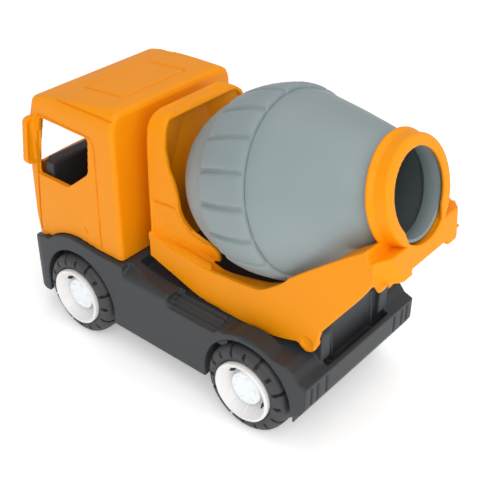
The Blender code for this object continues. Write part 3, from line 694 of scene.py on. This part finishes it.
def build_interior():
    """Floor, bench seat and dashboard."""
    floor_z = PLINTH_Z + GAP
    floor = prism(rectangle(33.0, 72.0, -36.0, 36.0), floor_z, floor_z + 2.0, "Z")
    base = Moulding("cab_lining", floor)
    dash = [
        (72.8, floor_z + 1.0), (84.5, floor_z + 1.0), (84.5, 80.0), (84.0, 87.0), (79.5, 89.6),
        (73.8, 89.2), (72.8, 88.2),
    ]
    cushion = flowing([(55.0, 70.0), (53.5, 72.6), (46.0, 72.0), (41.0, 74.0), (38.6, 84.0), (37.2, 96.0)])
    seat = [(33.0, floor_z + 1.0), (54.0, floor_z + 1.0), *cushion, (35.0, 98.0), (33.0, 97.0)]
    base.add(prism(dash, -31.0, 31.0))
    base.add(prism([(min(x, 79.0), z) for x, z in dash], -36.9, 36.9))
    base.add(prism(seat, -30.0, 30.0))
    seat_gap = rounded(rectangle(-1.2, 1.2, 66.0, 110.0), 0.4)
    base.cut(prism(seat_gap, 37.0, 60.0, "X"))
    lining = base.softened(voxel=0.7, passes=3, share=0.3)
    finish(lining, "truck", ["cab_interior"], CAB_BLACK, angle=None)


# ---------------------------------------------------------------- superstructure

DRUM_CONE = [
    (DRUM_SPLIT, 40.6), (60.0, 39.3), (65.0, 37.3), (70.0, 35.4), (75.0, 33.5), (80.0, 31.5),
    (85.0, 29.4), (90.0, 27.3), (97.0, 24.2), (101.0, 21.7), (DRUM_MOUTH, 20.5),
]
RAIL_TOP = flowing(
    [
        (14.4, 71.3), (6.9, 68.4), (0.5, 67.6), (-5.8, 67.2), (-12.0, 66.6), (-18.1, 66.0), (-24.2, 66.2),
        (-30.0, 66.7), (-41.7, 67.7), (-50.2, 68.8), (-54.1, 70.3), (-63.6, 77.5), (-68.7, 83.1),
        (-78.5, 91.4), (-92.3, 102.6), (-107.0, 114.0),
    ],
)
WING_CREASE_Z = 89.3
WING_FOOT_Z = 70.2
WING_END_Z = 66.5
WING_WALL = 2.2
WING_FOOT = [
    (-24.0, 23.6), (-17.7, 24.4), (-13.1, 25.3), (-7.4, 25.9), (-1.6, 26.4), (4.3, 26.9), (10.2, 27.6),
    (15.7, 28.7),
]
WING_REAR = flowing(
    [
        (8.3, 131.0), (5.6, 127.5), (4.3, 122.0), (3.9, 116.0), (1.7, 107.5), (-0.7, 102.8), (-3.4, 96.4),
        (-4.8, 89.3), (-6.3, 84.3), (-9.6, 80.2), (-15.2, 77.2), (-20.0, 74.9), (-22.4, 72.2),
        (-23.0, 69.0),
    ],
)
RIB_HEIGHT = 0.45
RIB_LINE = WING_REAR[26:45]  # the part of the wing's rear edge that carries the rib
BULKHEAD_EDGE = [
    (57.0, 29.9), (78.0, 29.9), (94.0, 29.4), (109.0, 28.7), (118.0, 28.1), (123.0, 27.5), (126.6, 25.9),
    (129.0, 22.9), (130.0, 19.0),
]


def along_curve(curve, s):
    """The second coordinate of a curve where its first one, which rises, is s."""
    for (a, ra), (b, rb) in zip(curve, curve[1:]):
        if s <= b:
            return ra + (rb - ra) * max(0.0, (s - a) / (b - a))
    return curve[-1][1]


def tray_side():
    """Side outline of a rail: the sill, the hinge ear, the tail that sweeps up, and the top edge."""
    tail = flowing([(-108.0, 98.0), (-102.7, 88.5), (-94.2, 76.0), (-85.1, 62.5)])
    ear = arc((TIP_X, TIP_Z), 4.8, 215, 330, 12)
    lower = flowing(
        [
            (-73.1, 51.8), (-64.5, 49.2), (-56.0, 47.6), (-42.0, 47.4), (-29.8, 47.5), (-17.5, 48.4),
            (-5.0, 52.2), (13.9, 58.2),
        ],
    )
    return tail + ear + lower + RAIL_TOP


def wing_face(x, z):
    """How far out the wing's outer face is: it leans inwards below the crease."""
    above = along_curve(BULKHEAD_EDGE, z)
    lean = max(0.0, (WING_CREASE_Z - z) / (WING_CREASE_Z - WING_FOOT_Z))
    return above + (along_curve(WING_FOOT, x) - above) * lean


def wing_solids(side):
    """The leaning lower wing, the cutter that frees its outer face, and the rib along its rear edge."""
    rail_top = sorted(RAIL_TOP)
    leaning = []
    freeing = []
    rib = []
    for x in (14.0, 10.2, 4.3, -1.6, -7.4, -13.1, -17.7, -24.0):
        foot = along_curve(WING_FOOT, x)
        crest = wing_face(x, WING_CREASE_Z)
        section = [(crest, WING_CREASE_Z + 0.4), (foot, WING_FOOT_Z), (foot - 0.4, WING_END_Z)]
        section += [
            (foot - 2.6, WING_END_Z), (foot - WING_WALL, WING_FOOT_Z),
            (crest - WING_WALL, WING_CREASE_Z + 0.4),
        ]
        leaning.append([(x, side * y, z) for y, z in section])
    for x in (12.2, 10.2, 4.3, -1.6, -7.4, -13.1, -17.7, -24.0):
        foot = along_curve(WING_FOOT, x)
        top = along_curve(rail_top, x)
        crest = wing_face(x, WING_CREASE_Z)
        section = [
            (crest, WING_CREASE_Z), (foot, WING_FOOT_Z), (31.3, top + 0.05), (34.0, top),
            (34.0, WING_CREASE_Z),
        ]
        freeing.append([(x, side * y, z) for y, z in section])
    for here, ahead in zip(RIB_LINE, RIB_LINE[1:]):
        run = (Vector(ahead) - Vector(here)).normalized()
        front = Vector(here) + Vector((-run.y, run.x)) * 1.9
        section = []
        for place, lifts in ((Vector(here), (-1.0, RIB_HEIGHT)), (front, (RIB_HEIGHT, -1.0))):
            face_y = wing_face(*place)
            section += [(place.x, side * (face_y + lift), place.y) for lift in lifts]
        rib.append(section)
    return loft(leaning), loft(freeing), loft(rib)


def bulkhead_front():
    return mirrored([(y, z) for z, y in BULKHEAD_EDGE])


def bulkhead_plan():
    """Plan of the block that the bulkhead and its wings are cut from."""
    centre = (BULKHEAD_X - BULKHEAD_CORNER, BULKHEAD_HALF_WIDTH - BULKHEAD_CORNER)
    corner = arc(centre, BULKHEAD_CORNER, 0, 90, 8)
    outside = [(y, x) for x, y in corner] + [(BULKHEAD_HALF_WIDTH, -26.0)]
    return [(x, y) for y, x in mirrored(outside)]


def bulkhead_room():
    """The space between the wings: a flat middle panel, and a facet to each side that widens upwards."""
    rings = []
    for z in (50.0, 75.0, 90.0, 100.0, 110.0, 115.0, 120.0, 124.0, 127.6):
        wide = along_curve(BULKHEAD_EDGE, z) - 2.2
        flat = min(wide - 2.0, 5.6 + max(0.0, 127.4 - z) * 0.42)
        shallow = BULKHEAD_REAR_X - (wide - flat) * 0.3
        half = [(wide, -40.0), (wide, shallow), (flat, BULKHEAD_REAR_X)]
        rings.append([(x, y, z) for y, x in half] + [(x, -y, z) for y, x in reversed(half)])
    return loft(rings)


def wing_seam(side):
    """Cutter of the narrow seam on the wing's outer face."""
    path = flowing(
        [
            (12.4, 88.6), (4.4, 89.3), (-1.0, 89.5), (-3.2, 87.6), (-4.6, 83.5), (-7.5, 80.3),
            (-13.5, 77.4), (-19.0, 75.4),
        ],
        3,
    )
    rings = []
    for i, here in enumerate(path):
        run = (Vector(path[min(i + 1, len(path) - 1)]) - Vector(path[max(i - 1, 0)])).normalized()
        across = Vector((-run.y, run.x)) * 0.7
        low = Vector(here) + across
        high = Vector(here) - across
        corners = ((low, -1.2), (low, 2.0), (high, 2.0), (high, -1.2))
        rings.append([(point.x, side * (wing_face(*point) + lift), point.y) for point, lift in corners])
    return loft(rings)


def ledge_rings(side):
    """The ledge inwards from the rail's top edge. A station is x, outer height, inner |y|, inner height."""
    stations = [
        (13.6, 71.0, 26.6, 70.4), (6.9, 68.2, 25.6, 70.3), (0.5, 67.4, 25.2, 70.2),
        (-5.8, 67.0, 24.6, 70.1), (-12.0, 66.4, 24.0, 69.9), (-17.0, 65.9, 23.2, 68.4),
        (-21.5, 65.8, 23.6, 65.6), (-28.0, 66.3, 24.4, 65.2), (-34.0, 66.9, 23.8, 65.4),
        (-41.0, 67.5, 22.8, 66.2), (-46.0, 68.0, 22.5, 67.2), (-52.0, 69.2, 22.5, 68.6),
        (-57.0, 72.2, 22.5, 70.8), (-62.0, 76.0, 22.5, 73.4),
    ]
    rings = []
    for x, outer_z, inner_y, inner_z in stations:
        section = [(30.7, outer_z), (inner_y, inner_z), (inner_y, inner_z - 2.2), (29.2, outer_z - 6.0)]
        rings.append([(x, side * y, z) for y, z in section])
    return rings


def chute_plan():
    half = [
        (0.0, REAR_X), (19.5, REAR_X), *flowing([(21.0, -114.6), (29.0, -108.4), (30.7, -106.4)], 3),
        (TRAY_HALF_WIDTH, -104.6), (TRAY_HALF_WIDTH, -90.0),
    ]
    return [(x, y) for y, x in mirrored(half)]


def bulkhead_and_wings():
    """The upright part of the frame, with the block under the collar already joined to it."""
    left = wing_solids(1)
    right = wing_solids(-1)
    tray = Moulding("tipping_frame_moulding", prism(bulkhead_plan(), 57.0, 131.0, "Z"))
    tray.cut(bulkhead_room())
    tray.add(left[0], right[0])
    wing_side = [(16.0, 57.0), (16.0, 131.0), *WING_REAR, (-23.0, 64.0), (-5.0, 57.0)]
    tray.keep(prism(wing_side, -40.0, 40.0))
    tray.keep(prism(bulkhead_front(), -40.0, 20.0, "X"))
    dip = rectangle(7.0, 14.0, 8.5, 17.0)
    tray.cut(*[prism([(x, sign * y) for x, y in dip], 129.3, 135.0, "Z") for sign in (1, -1)])
    tray.add(prism(chute_plan(), 96.5, 112.0, "Z"))
    above_rail = [
        (-105.5, 112.6), (-90.0, 100.5), (-86.0, 90.0), (-80.0, 90.0), (-80.0, 125.0), (-105.5, 125.0),
    ]
    tray.cut(prism(above_rail, -40.0, 40.0))
    tray.cut(left[1], right[1])
    tray.add(left[2], right[2])
    tray.cut(wing_seam(1), wing_seam(-1))
    return tray


def shape_block(tray, inner):
    """The pocket and the notch under the block, its rear face and top, and the two hooks below it."""
    pocket_half = [(inner - 1.5, -80.0), (inner - 1.5, -104.0), (17.5, -111.6)]
    tray.cut(prism([(x, y) for y, x in mirrored(pocket_half)], 90.0, 101.0, "Z"))
    tray.cut(prism([(-118.0, 90.0), (-118.0, 98.7), (-108.0, 98.7), (-108.0, 90.0)], -13.6, 13.6))
    behind = [(0.0, MOUTH_FACE), (70.0, MOUTH_FACE), (70.0, 150.0), (0.0, 150.0)]
    tray.cut(placed(spun(behind, even(32), closed=False), drum_matrix()))
    top = rectangle(BLOCK_FRONT, BLOCK_FRONT + 40.0, BLOCK_TOP, 40.0)
    over_block = [in_drum(s, u) for s, u in top]
    tray.cut(prism(over_block, -40.0, 40.0))
    hook = [(-106.8, 98.0), (-107.4, 94.6), (-108.7, 93.2), (-110.0, 93.9), (-112.0, 98.0)]
    tray.add(*pair(hook, 25.8, 28.8))


def build_tray():
    inner = TRAY_HALF_WIDTH - TRAY_WALL
    tray = bulkhead_and_wings()
    tray.add(*pair(tray_side(), inner, TRAY_HALF_WIDTH))
    tray.add(loft(ledge_rings(1)), loft(ledge_rings(-1)))
    shape_block(tray, inner)
    room = [(radius + 0.9, s) for s, radius in DRUM_CONE[:-3]]
    bore = [(0.0, DRUM_SPLIT)] + room + [
        (25.4, 96.0), (25.4, 101.0), (23.4, 103.5), (21.4, 105.5), (21.4, 140.0), (0.0, 140.0),
    ]
    tray.cut(placed(spun(bore, even(72), closed=False), drum_matrix()))
    boss = spun([(0.0, -13.6), (6.0, -13.6), (6.0, -1.0), (0.0, -1.0)], even(40), closed=False)
    tray.add(placed(boss, drum_matrix()))
    hole = spun([(0.0, -20.0), (3.3, -20.0), (3.3, 10.0), (0.0, 10.0)], even(32), closed=False)
    tray.cut(placed(hole, drum_matrix()))
    pad = arc((TIP_X, TIP_Z), 4.4, 0, 345, 23)
    socket = arc((TIP_X, TIP_Z), TIP_HOLE_RADIUS, 0, 345, 23)
    dimple = arc((TIP_X, TIP_Z), 3.0, 0, 345, 23)
    tray.add(*pair(pad, 26.6, inner + 0.5))
    tray.cut(*pair(socket, 20.0, 29.7), *pair(dimple, 30.3, 33.0))
    frame_obj = tray.softened(passes=3)
    finish(frame_obj, "mixer_frame", ["mixer_tray"], ORANGE, angle=None)


def keyhole():
    """The collar's opening seen along the drum's axis: round above and running out below, as (left, up)."""
    top = arc((0, 0), 17.8, -38, 218, 48)
    low = arc((0, 0), 20.8, 228, 312, 16)
    return top + [(-13.7, -12.5), *[p for p in low if abs(p[0]) < 13.6], (13.7, -12.5)]


def build_collar():
    """The ring round the drum's mouth, whose opening runs out downwards into the chute."""
    profile = [
        (21.9, 102.6), (24.2, 102.3), (24.9, 102.7), (24.9, 103.8), (24.2, 104.4), (23.3, 105.4),
        (22.9, 110.4), (22.3, MOUTH_FACE), (14.0, MOUTH_FACE), (14.0, 109.8), (21.6, 109.8),
    ]
    ring = Moulding("drum_collar_moulding", placed(spun(profile, even(96)), drum_matrix()))
    low, high = 105.0, 116.0
    mesh = bmesh.new()
    outline = keyhole()
    loops = [[mesh.verts.new(Vector((u, v, s)) * MM) for u, v in outline] for s in (low, high)]
    for i in range(len(outline)):
        j = (i + 1) % len(outline)
        mesh.faces.new((loops[0][i], loops[0][j], loops[1][j], loops[1][i]))
    mesh.faces.new(loops[0])
    mesh.faces.new(loops[1])
    bmesh.ops.recalc_face_normals(mesh, faces=mesh.faces)
    along = Vector((-cos(DRUM_TILT), 0.0, sin(DRUM_TILT)))
    up = Vector((sin(DRUM_TILT), 0.0, cos(DRUM_TILT)))
    right = up.cross(along)
    turn = Matrix((right, up, along)).transposed().to_4x4()
    ring.cut(placed(mesh, Matrix.Translation(SHIFT + Vector((0, 0, DRUM_AXIS_Z * MM))) @ turn))
    ring_obj = ring.softened(voxel=0.45, passes=3, share=0.4)
    finish(ring_obj, "mixer_frame", ["drum_collar"], ORANGE, angle=None)


# ---------------------------------------------------------------- drum

DOME_BASE = [
    (3.0, 9.0), (4.0, 14.5), (5.5, 20.5), (8.0, 25.6), (11.0, 29.4), (15.0, 32.4), (20.0, 35.1),
    (25.0, 36.8), (29.0, 38.2), (33.0, 39.3), (38.0, 40.4), (44.0, 41.3), (50.0, 41.7), (55.2, 41.0),
    (55.65, 39.8),
]
PANEL_TOP = [
    (27.0, 38.4), (31.0, 40.3), (36.0, 41.6), (42.0, 42.5), (50.0, 42.9), (53.5, 42.5), (55.2, 41.9),
    (55.65, 39.8),
]
PANEL_FRONT = 28.8
PANEL_GAP = 0.35  # width of the groove between two panels
PANEL_CORNER = 1.2
PANEL_EDGE = 0.25  # over how much of its width a panel's edge rises
PANEL_ANGLE = 360.0 / DRUM_PANELS
FIRST_GROOVE = 2.5  # angle of the first groove


def ease(value):
    value = min(1.0, max(0.0, value))
    return value * value * (3 - 2 * value)


def panel_height(s, angle):
    """From 0 in a groove or ahead of the panels to 1 on a panel, whose front corners are rounded."""
    radius = along_curve(DOME_BASE, s)
    offset = (angle + PANEL_ANGLE / 2 - FIRST_GROOVE) % PANEL_ANGLE - PANEL_ANGLE / 2
    from_groove = radians(abs(offset)) * radius - PANEL_GAP / 2
    from_front = s - PANEL_FRONT
    if from_groove < PANEL_CORNER and from_front < PANEL_CORNER:
        inside = PANEL_CORNER - hypot(PANEL_CORNER - from_groove, PANEL_CORNER - from_front)
    else:
        inside = min(from_groove, from_front)
    across = ease(min(from_groove, inside) / PANEL_EDGE)
    return min(across, ease(inside / 1.9 + 0.1))


def build_drum():
    stations = [
        3.0, 3.4, 4.0, 5.0, 6.5, 8.5, 11.0, 14.0, 17.0, 20.0, 23.0, 25.5, 27.4, 28.4, 28.9, 29.3, 29.7,
        30.1, 30.5, 31.0, 31.6, 32.4, 34.0, 37.0, 40.5, 44.0, 47.5, 50.5, 52.5, 54.0, 54.8, 55.2, 55.35,
        55.65,
    ]
    near = [0.15, 0.26, 0.36, 0.46, 0.6, 0.8, 1.1, 1.6, 2.3, 3.5, 6.0]
    offsets = [-offset for offset in near] + [0.0] + near + [10.0]
    angles = sorted(
        (FIRST_GROOVE + PANEL_ANGLE * i + offset) % 360.0
        for i in range(DRUM_PANELS) for offset in offsets
    )
    profile = [(along_curve(DOME_BASE, s), s) for s in stations]
    inside = [
        (39.0, 55.65), (39.9, 50.0), (39.2, 42.0), (37.0, 31.0), (33.2, 20.0), (27.0, 11.5), (18.0, 7.5),
        (7.0, 7.0), (3.3, 7.0), (3.3, 1.5), (8.0, 1.5),
    ]

    def raise_panel(radius, height, angle, index):
        if index >= len(stations):
            return 0.0
        step = along_curve(PANEL_TOP, height) - along_curve(DOME_BASE, height)
        return -step * panel_height(height, angle) if height > 27.5 else 0.0

    mesh = spun(profile + inside, angles, raise_panel)
    obj = as_object("drum_front_moulding", placed(mesh, drum_matrix()))
    finish(obj, "drum", ["drum_front_shell"], DRUM_GREY, 50.0)

    outer = [(39.6, 55.95), (40.1, 56.1)] + [(radius, s) for s, radius in DRUM_CONE[1:-3]]
    outer += [
        (24.2, 97.0), (22.9, 99.0), (21.8, 101.0), (21.2, 103.0), (20.9, 106.0), (20.5, 108.0),
        (20.1, 108.6), (19.5, DRUM_MOUTH), (18.9, 108.3),
    ]
    inner = [
        (18.7, 107.0), (18.6, 101.4), (19.0, 100.8), (19.6, 100.4), (22.0, 97.0), (25.3, 90.0),
        (33.4, 70.0), (38.2, 57.0), (38.3, 53.0), (39.0, 52.6), (39.4, 54.0), (39.9, 55.9),
    ]
    mesh = spun(outer + inner, even(144))
    obj = as_object("drum_rear_moulding", placed(mesh, drum_matrix()))
    finish(obj, "drum", ["drum_rear_cone"], DRUM_GREY, 40.0)


# ---------------------------------------------------------------- wheels

TREAD_PERIODS = 16
POCKET_START = 17.2  # radius at which the tread's pockets begin on the tyre's side
POCKET_LIMIT = 34.0  # and how far in from the side they may reach
SHOULDER_Y = 43.4
SHORT_POCKET = 3.6
LONG_POCKET = 9.0
POCKET_HALF_WIDTH = 0.75
POCKET_DEPTH = 1.9
RIB_ANGLE = 30.0  # between two ribs of a rim
VENT_TURNS = (327.0, 147.0)


def tyre_profile():
    inner_y = TYRE_FACE_Y - TYRE_WIDTH
    shoulder = flowing(
        [
            (15.1, 44.0), (15.9, 44.5), (17.2, 44.75), (18.6, 44.7), (19.8, 44.3), (20.8, 43.6),
            (21.5, 42.7), (21.95, 41.6), (22.2, 40.2), (TYRE_RADIUS, 38.5),
        ],
        3,
    )
    back = flowing(
        [
            (TYRE_RADIUS, 33.0), (22.2, 31.4), (21.6, 30.0), (20.6, 29.2), (19.0, inner_y),
            (15.4, inner_y + 0.6),
        ],
        3,
    )
    return shoulder + back


def tyre_dent(radius, height, angle, index):
    """Depth of the short shoulder pockets and of the longer channels that run onto the tread."""
    period = 360.0 / TREAD_PERIODS
    number = int((angle + period / 2) // period)
    offset = radians((angle + period / 2) % period - period / 2) * radius
    if radius < POCKET_START or height < POCKET_LIMIT:
        return 0.0
    along = (radius - POCKET_START) if height > SHOULDER_Y else 4.0 + (SHOULDER_Y - height)
    end = LONG_POCKET if number % 2 else SHORT_POCKET
    if along > end:
        return 0.0
    across = ease((POCKET_HALF_WIDTH - abs(offset)) / 0.3 + 0.5)
    ends = ease(along / 0.35) * ease((end - along) / 0.35)
    return -POCKET_DEPTH * across * ends


def rim_dent(radius, height, angle, index):
    """Faint raised ribs that run outwards over the dish."""
    if not (9.4 < radius < 13.2 and height > 38.5):
        return 0.0
    offset = radians((angle + RIB_ANGLE / 2) % RIB_ANGLE - RIB_ANGLE / 2) * radius
    return -0.22 * ease((0.45 - abs(offset)) / 0.25)


def build_tyre(name, body, matrix):
    period = 360.0 / TREAD_PERIODS
    offsets = [
        -7.5, -4.6, -3.2, -2.75, -2.35, -1.95, -1.55, -0.8, 0.0, 0.8, 1.55, 1.95, 2.35, 2.75, 3.2, 4.6,
        7.5, 11.25,
    ]
    angles = sorted((period * i + offset) % 360.0 for i in range(TREAD_PERIODS) for offset in offsets)
    tyre = as_object(f"{name}_tyre_moulding", placed(spun(tyre_profile(), angles, tyre_dent), matrix))
    finish(tyre, body, [f"{name}_tyre"], RUBBER, 60.0)


def rim_profile():
    edge = RIM_EDGE_RADIUS
    lip = [
        (edge - 0.4, 29.6), (edge - 0.3, 43.6), (edge, 44.4), (edge, 46.1), (14.9, 46.5),
        (14.5, RIM_FACE_Y),
    ]
    lip += [(13.9, RIM_FACE_Y), (13.55, 46.5), (13.35, 46.0), (13.2, 45.5), (12.9, 45.2)]
    dish = [(12.4, 44.2), (11.6, 42.9), (10.8, 41.6), (10.0, 40.3), (9.4, 39.2), (9.1, 38.5), (8.8, 38.2)]
    bore = [(2.1, HUB_SEAT_Y), (2.1, 29.6)]
    return lip + dish + bore


def build_rim(name, body, matrix):
    ribs = [-4.0, -2.9, -2.3, -1.7, -1.0, 0.0, 1.0, 1.7, 2.3, 2.9, 4.0, 7.5, 11.0, 15.0]
    angles = sorted((RIB_ANGLE * i + offset) % 360.0 for i in range(12) for offset in ribs)
    rim = as_object(f"{name}_rim_moulding", placed(spun(rim_profile(), angles, rim_dent), matrix))
    finish(rim, body, [f"{name}_rim"], RIM_WHITE, 50.0)
    # Two black blocks sunk in the dish stand for the rim's vents: painted shade of the dark inside seen
    # through them, as no opening is cut.
    vent_shade = bmesh.new()
    for turn in VENT_TURNS:
        block = bmesh.ops.create_cube(vent_shade, size=1.0)["verts"]
        shape = Matrix.Rotation(radians(turn), 4, "Z") @ Matrix.Translation(Vector((10.6, 0, 41.25)) * MM)
        size = Vector((2.7, 2.6, 1.0)) * MM
        shape = shape @ Matrix.Rotation(radians(-58.0), 4, "Y") @ Matrix.Diagonal((*size, 1.0))
        bmesh.ops.transform(vent_shade, matrix=shape, verts=block)
    bmesh.ops.bevel(vent_shade, geom=vent_shade.edges, offset=0.25 * MM, segments=2, affect="EDGES")
    obj = as_object(f"{name}_rim_vents", placed(vent_shade, matrix))
    finish(obj, body, [], PAINTED_VENT_SHADE)


def build_hub(name, body, matrix):
    disc = [
        (0.0, 38.55), (7.4, 38.55), (7.9, 40.0), (HUB_RADIUS, 41.4), (HUB_RADIUS, 42.3), (8.0, 42.8),
        (7.5, 43.05),
    ]
    disc += [(6.9, 43.1), (0.0, 43.1)]
    cap = spun(disc, even(64), closed=False)
    for i in range(6):
        bolt = bmesh.ops.create_cone(
            cap, cap_ends=True, segments=6, radius1=0.95 * MM, radius2=0.85 * MM, depth=1.2 * MM,
        )
        turn = radians(60.0 * i + 15.0)
        place = Vector((5.9 * cos(turn), 5.9 * sin(turn), 43.35)) * MM
        bmesh.ops.transform(cap, matrix=Matrix.Translation(place), verts=bolt["verts"])
    hub = as_object(f"{name}_hub_moulding", placed(cap, matrix))
    finish(hub, body, [f"{name}_hub_cap"], HUB_WHITE, 40.0)


def build_wheel(end, x, side_name, side):
    matrix = wheel_matrix(x, side)
    body = f"{end}_wheels"
    name = f"{end}_{side_name}"
    build_tyre(name, body, matrix)
    build_rim(name, body, matrix)
    build_hub(name, body, matrix)


# ---------------------------------------------------------------- the CAD's own hardware


def refinish(node, material):
    """A CAD node whose shape is right gets its better material."""
    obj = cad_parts[node]
    for slot in obj.material_slots:
        slot.material = material


def refinish_hardware():
    for end in ("front", "rear"):
        refinish(f"{end}_axle", STEEL)
        refinish(f"{end}_axle_clip", CHARCOAL)
        for side in ("left", "right"):
            for place in ("fore", "aft"):
                refinish(f"{end}_clip_screw_{side}_{place}", STEEL)
    for node in ("cab_screw_left", "cab_screw_right", "tip_pin_left", "tip_pin_right", "drum_pivot_pin"):
        refinish(node, STEEL)


# ---------------------------------------------------------------- studio

LIGHTS = (  # name, place in metres, size in metres, power in watts
    ("key_light", (-0.55, 0.70, 0.80), 0.9, 5.2),
    ("rear_light", (-1.10, 0.05, 0.42), 0.8, 2.7),
    ("top_light", (-0.1, -0.1, 1.2), 1.2, 4.5),
)
LIGHT_TARGET = (0.0, 0.0, 0.06)
FLOOR_GLOW = 0.32  # keeps the paper floor white under soft lights
AIR_STRENGTH = 0.48
FOCAL_LENGTH = 68.66
SENSOR_WIDTH = 36.0
CAMERA_PLACE = (-250.70, 277.93, 302.69)
CAMERA_TARGET = (-9.62, -7.0, 57.78)


def build_studio():
    floor_mesh = bmesh.new()
    bmesh.ops.create_grid(floor_mesh, x_segments=1, y_segments=1, size=4.0)
    floor = as_object("studio_floor", floor_mesh)
    paper = moulded_plastic("studio_paper", (0.94, 0.94, 0.94), 0.9, variation=0.0, bump=0.0)
    glow = paper.node_tree.nodes["Principled BSDF"]
    glow.inputs["Emission Color"].default_value = (1.0, 1.0, 1.0, 1.0)
    glow.inputs["Emission Strength"].default_value = FLOOR_GLOW
    floor.data.materials.append(paper)
    world = bpy.data.worlds.new("studio_air")
    bpy.context.scene.world = world
    world.use_nodes = True
    world.node_tree.nodes["Background"].inputs["Color"].default_value = (1.0, 1.0, 1.0, 1.0)
    world.node_tree.nodes["Background"].inputs["Strength"].default_value = AIR_STRENGTH
    for name, place, size, power in LIGHTS:
        lamp = bpy.data.lights.new(name, "AREA")
        lamp.size = size
        lamp.energy = power
        obj = bpy.data.objects.new(name, lamp)
        bpy.context.scene.collection.objects.link(obj)
        obj.location = place
        aim = Vector(LIGHT_TARGET) - Vector(place)
        obj.rotation_euler = aim.to_track_quat("-Z", "Y").to_euler()


def build_camera():
    lens = bpy.data.cameras.new("camera")
    lens.lens = FOCAL_LENGTH
    lens.sensor_width = SENSOR_WIDTH
    camera = bpy.data.objects.new("camera", lens)
    bpy.context.scene.collection.objects.link(camera)
    place = Vector(CAMERA_PLACE) * MM + SHIFT
    target = Vector(CAMERA_TARGET) * MM + SHIFT
    camera.location = place
    camera.rotation_euler = (target - place).to_track_quat("-Z", "Y").to_euler()
    bpy.context.scene.camera = camera


build_chassis()
build_cab()
build_interior()
build_tray()
build_collar()
build_drum()
for end, x in (("front", AXLE_X), ("rear", -AXLE_X)):
    for side_name, side in (("left", 1), ("right", -1)):
        build_wheel(end, x, side_name, side)
refinish_hardware()
build_studio()
build_camera()
bpy.context.scene.view_settings.view_transform = "Standard"
